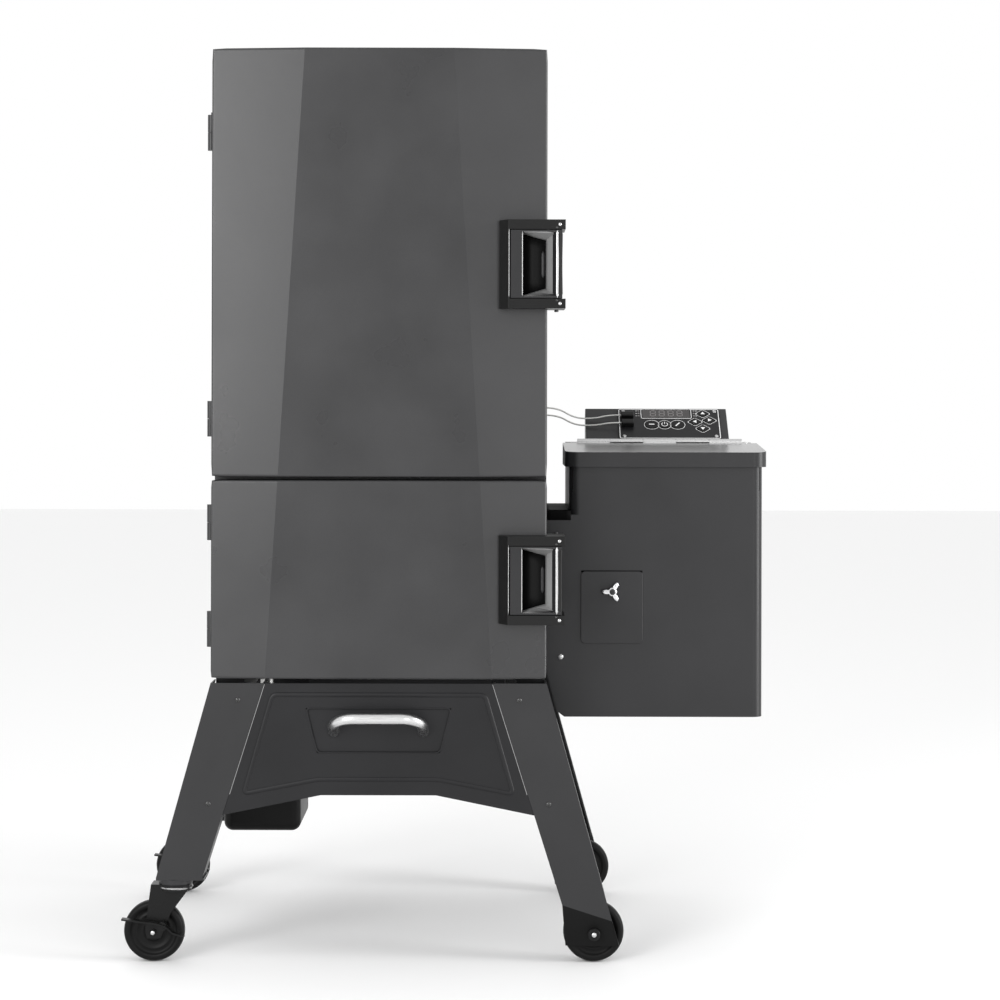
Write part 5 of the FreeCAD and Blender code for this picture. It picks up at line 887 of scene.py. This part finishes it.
def bent_bar(name, body, node):
    """Round bar along the handle's line: straight feet, quarter bends and a straight grip.

    centre(s) runs foot, bend, grip, bend, foot; section(s, a) = centre + R (cos a n + sin a b).
    """
    lean, panel_y = math.radians(32.0), -37.5
    out = np.array([0.0, -math.cos(lean), math.sin(lean)])
    reach, bend, radius = 39.0, 27.0, 7.0
    t = np.linspace(0, np.pi / 2, 17)[:, None]
    straight = out * np.linspace(0, reach - bend, 6)[:-1, None]
    turn = out * (reach - bend + bend * np.sin(t)) + ACROSS * bend * (1 - np.cos(t))
    half = np.array([-56.0, panel_y, 290.0]) + np.concatenate([straight, turn])
    ahead = np.concatenate([np.repeat(out[None], 5, 0), out * np.cos(t) + ACROSS * np.sin(t)])
    mirror = np.array([-1.0, 1.0, 1.0])
    line = np.concatenate([half, half[::-1] * mirror])
    tangents = np.concatenate([ahead, -ahead[::-1] * mirror])
    flat = np.cross(out, ACROSS)
    normal = np.cross(tangents, flat)
    a = np.linspace(0, 2 * np.pi, 40, endpoint=False)
    rings = line[:, None] + radius * (np.cos(a)[None, :, None] * normal[:, None]
                                      + np.sin(a)[None, :, None] * flat)
    rings[..., 1] = np.minimum(rings[..., 1], panel_y)
    points = np.concatenate([rings[:1].mean(1, keepdims=True).repeat(40, 1), rings,
                             rings[-1:].mean(1, keepdims=True).repeat(40, 1)])
    mesh = built(name, points / 1000.0 + ORIGIN, grid_faces(len(points), 40, True).tolist())
    bar = finish_mesh(name, mesh, handle_steel, body, 50.0)
    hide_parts(node)


bent_bar("pull_handle_bar", "cabinet", "pull_handle")

# ------------------------------------------------------------------ wheels and casters
# Hard black rubber wheels turn on zinc-plated axles. The casters have pressed steel forks, painted
# black, with a bent foot pedal that brakes the wheel.
tread_rubber = painted("tread_rubber", (0.005, 0.005, 0.005), 0.45, 1200.0, 0.00015, Specular_IOR_Level=0.13)
fork_black = painted("fork_black", (0.006, 0.006, 0.006), 0.30, 1200.0, Specular_IOR_Level=0.18)


WHEEL_RADIUS = 38.1


def wheel(name, node, centre_x, centre_y, body):
    """A wheel turned about its axle: crowned tread, rounded shoulder, dished web with a raised ring."""
    side = [(4.1, 10.0), (9.5, 10.0), (11.2, 9.4), (12.0, 8.2), (13.2, 7.0), (15.5, 6.5), (20.0, 6.6),
            (21.0, 7.4), (22.6, 7.4), (23.6, 6.6), (26.5, 6.5), (28.2, 7.2), (29.4, 8.8), (30.4, 9.5),
            (33.6, 9.5), (35.6, 8.8), (37.0, 7.2), (37.8, 4.8), (WHEEL_RADIUS, 2.4)]
    profile = [(r, -h) for r, h in side] + [(WHEEL_RADIUS, 0.0)] + side[::-1] + [(4.1, -10.0)]
    made = turned(name, profile, at(centre_x, centre_y, WHEEL_RADIUS), (0, 1, 0), tread_rubber, body, 96,
                  40.0)
    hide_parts(node)


wheel("front_fixed_wheel", "front_wheel", 270.0, -18.0, "front_wheel")
wheel("rear_fixed_wheel", "rear_wheel", 270.0, 398.0, "rear_wheel")
wheel("front_swivel_wheel", "front_caster_wheel", -282.0, -20.0, "front_caster_wheel")
wheel("rear_swivel_wheel", "rear_caster_wheel", -302.0, 400.0, "rear_caster_wheel")
softened("wheel_axles", fork_black, 0.6)
for name, y, way in (("front", -45.0, -1.0), ("rear", 425.0, 1.0)):
    turned(name + "_axle_end", [(0, 1.6), (1.8, 1.5), (2.8, 0.9), (3.0, 0.2), (3.0, -0.4), (0, -0.4)],
           at(270.0, y, WHEEL_RADIUS), (0, way, 0), zinc, "cabinet", 32)
for caster in ("front_caster", "rear_caster"):
    softened(caster + "_fork", fork_black, 0.5)
    softened(caster + "_brake", fork_black, 0.4)
    swivel_x, swivel_y = (-255.5, -20.0) if caster == "front_caster" else (-275.5, 400.0)
    turned(caster + "_race", [(19.0, 0.0), (20.6, 0.0), (21.4, 0.6), (21.8, 1.3), (21.4, 2.0), (20.6, 2.6),
                              (19.0, 2.6), (19.0, 0.0)],
           at(swivel_x, swivel_y, 92.0), (0, 0, 1), zinc, caster, 64)
    turned(caster + "_axle_nut", [(0, 1.8), (1.6, 1.7), (2.6, 1.0), (2.8, 0.2), (2.8, -0.5), (0, -0.5)],
           at(swivel_x - 26.5, swivel_y - 17.6, WHEEL_RADIUS), (0, -1, 0), zinc, caster, 32)

# ------------------------------------------------------------------ grease bucket
# A deep-drawn pail under the cabinet catches what the drip tray sheds. It is enamelled dark grey.
dress("grease_bucket", painted("pail_enamel", (0.004, 0.004, 0.004), 0.36, 500.0, Specular_IOR_Level=0.12))

# ------------------------------------------------------------------ floor and light
# A pale studio floor, a soft light at each front corner and one at the right.
mesh = bpy.data.meshes.new("studio_floor")
mesh.from_pydata([(x, y, -0.0005) for x, y in ((-12, -12), (12, -12), (12, 12), (-12, 12))], [],
                 [(0, 1, 2, 3)])
floor_material, tree, shader = base_material("floor_pale", (0.90, 0.90, 0.90), 0.7)
mesh.materials.append(floor_material)
studio_floor = placed("studio_floor", mesh)

world = bpy.data.worlds.new("studio")
world.use_nodes = True
world.node_tree.nodes["Background"].inputs[0].default_value = (1.0, 1.0, 1.0, 1.0)
world.node_tree.nodes["Background"].inputs[1].default_value = 1.0
bpy.context.scene.world = world


def softbox(name, place, aim, size, power):
    """A rectangular area light at a place, turned to face another."""
    data = bpy.data.lights.new(name, "AREA")
    data.shape = "RECTANGLE"
    data.size, data.size_y = size
    data.energy = power
    lamp = placed(name, data)
    lamp.location = place
    lamp.rotation_euler = (Vector(aim) - Vector(place)).to_track_quat("-Z", "Y").to_euler()


softbox("left_softbox", (-1.60, -2.75, 1.4), (-0.3, 0.0, 0.9), (1.2, 1.9), 52.0)
softbox("right_softbox", (1.15, -2.85, 0.9), (0.1, 0.0, 0.7), (0.9, 1.6), 9.0)
softbox("side_softbox", (2.9, -0.9, 0.9), (0.4, 0.0, 0.6), (0.9, 2.0), 60.0)
bpy.context.scene.view_settings.view_transform = "Standard"
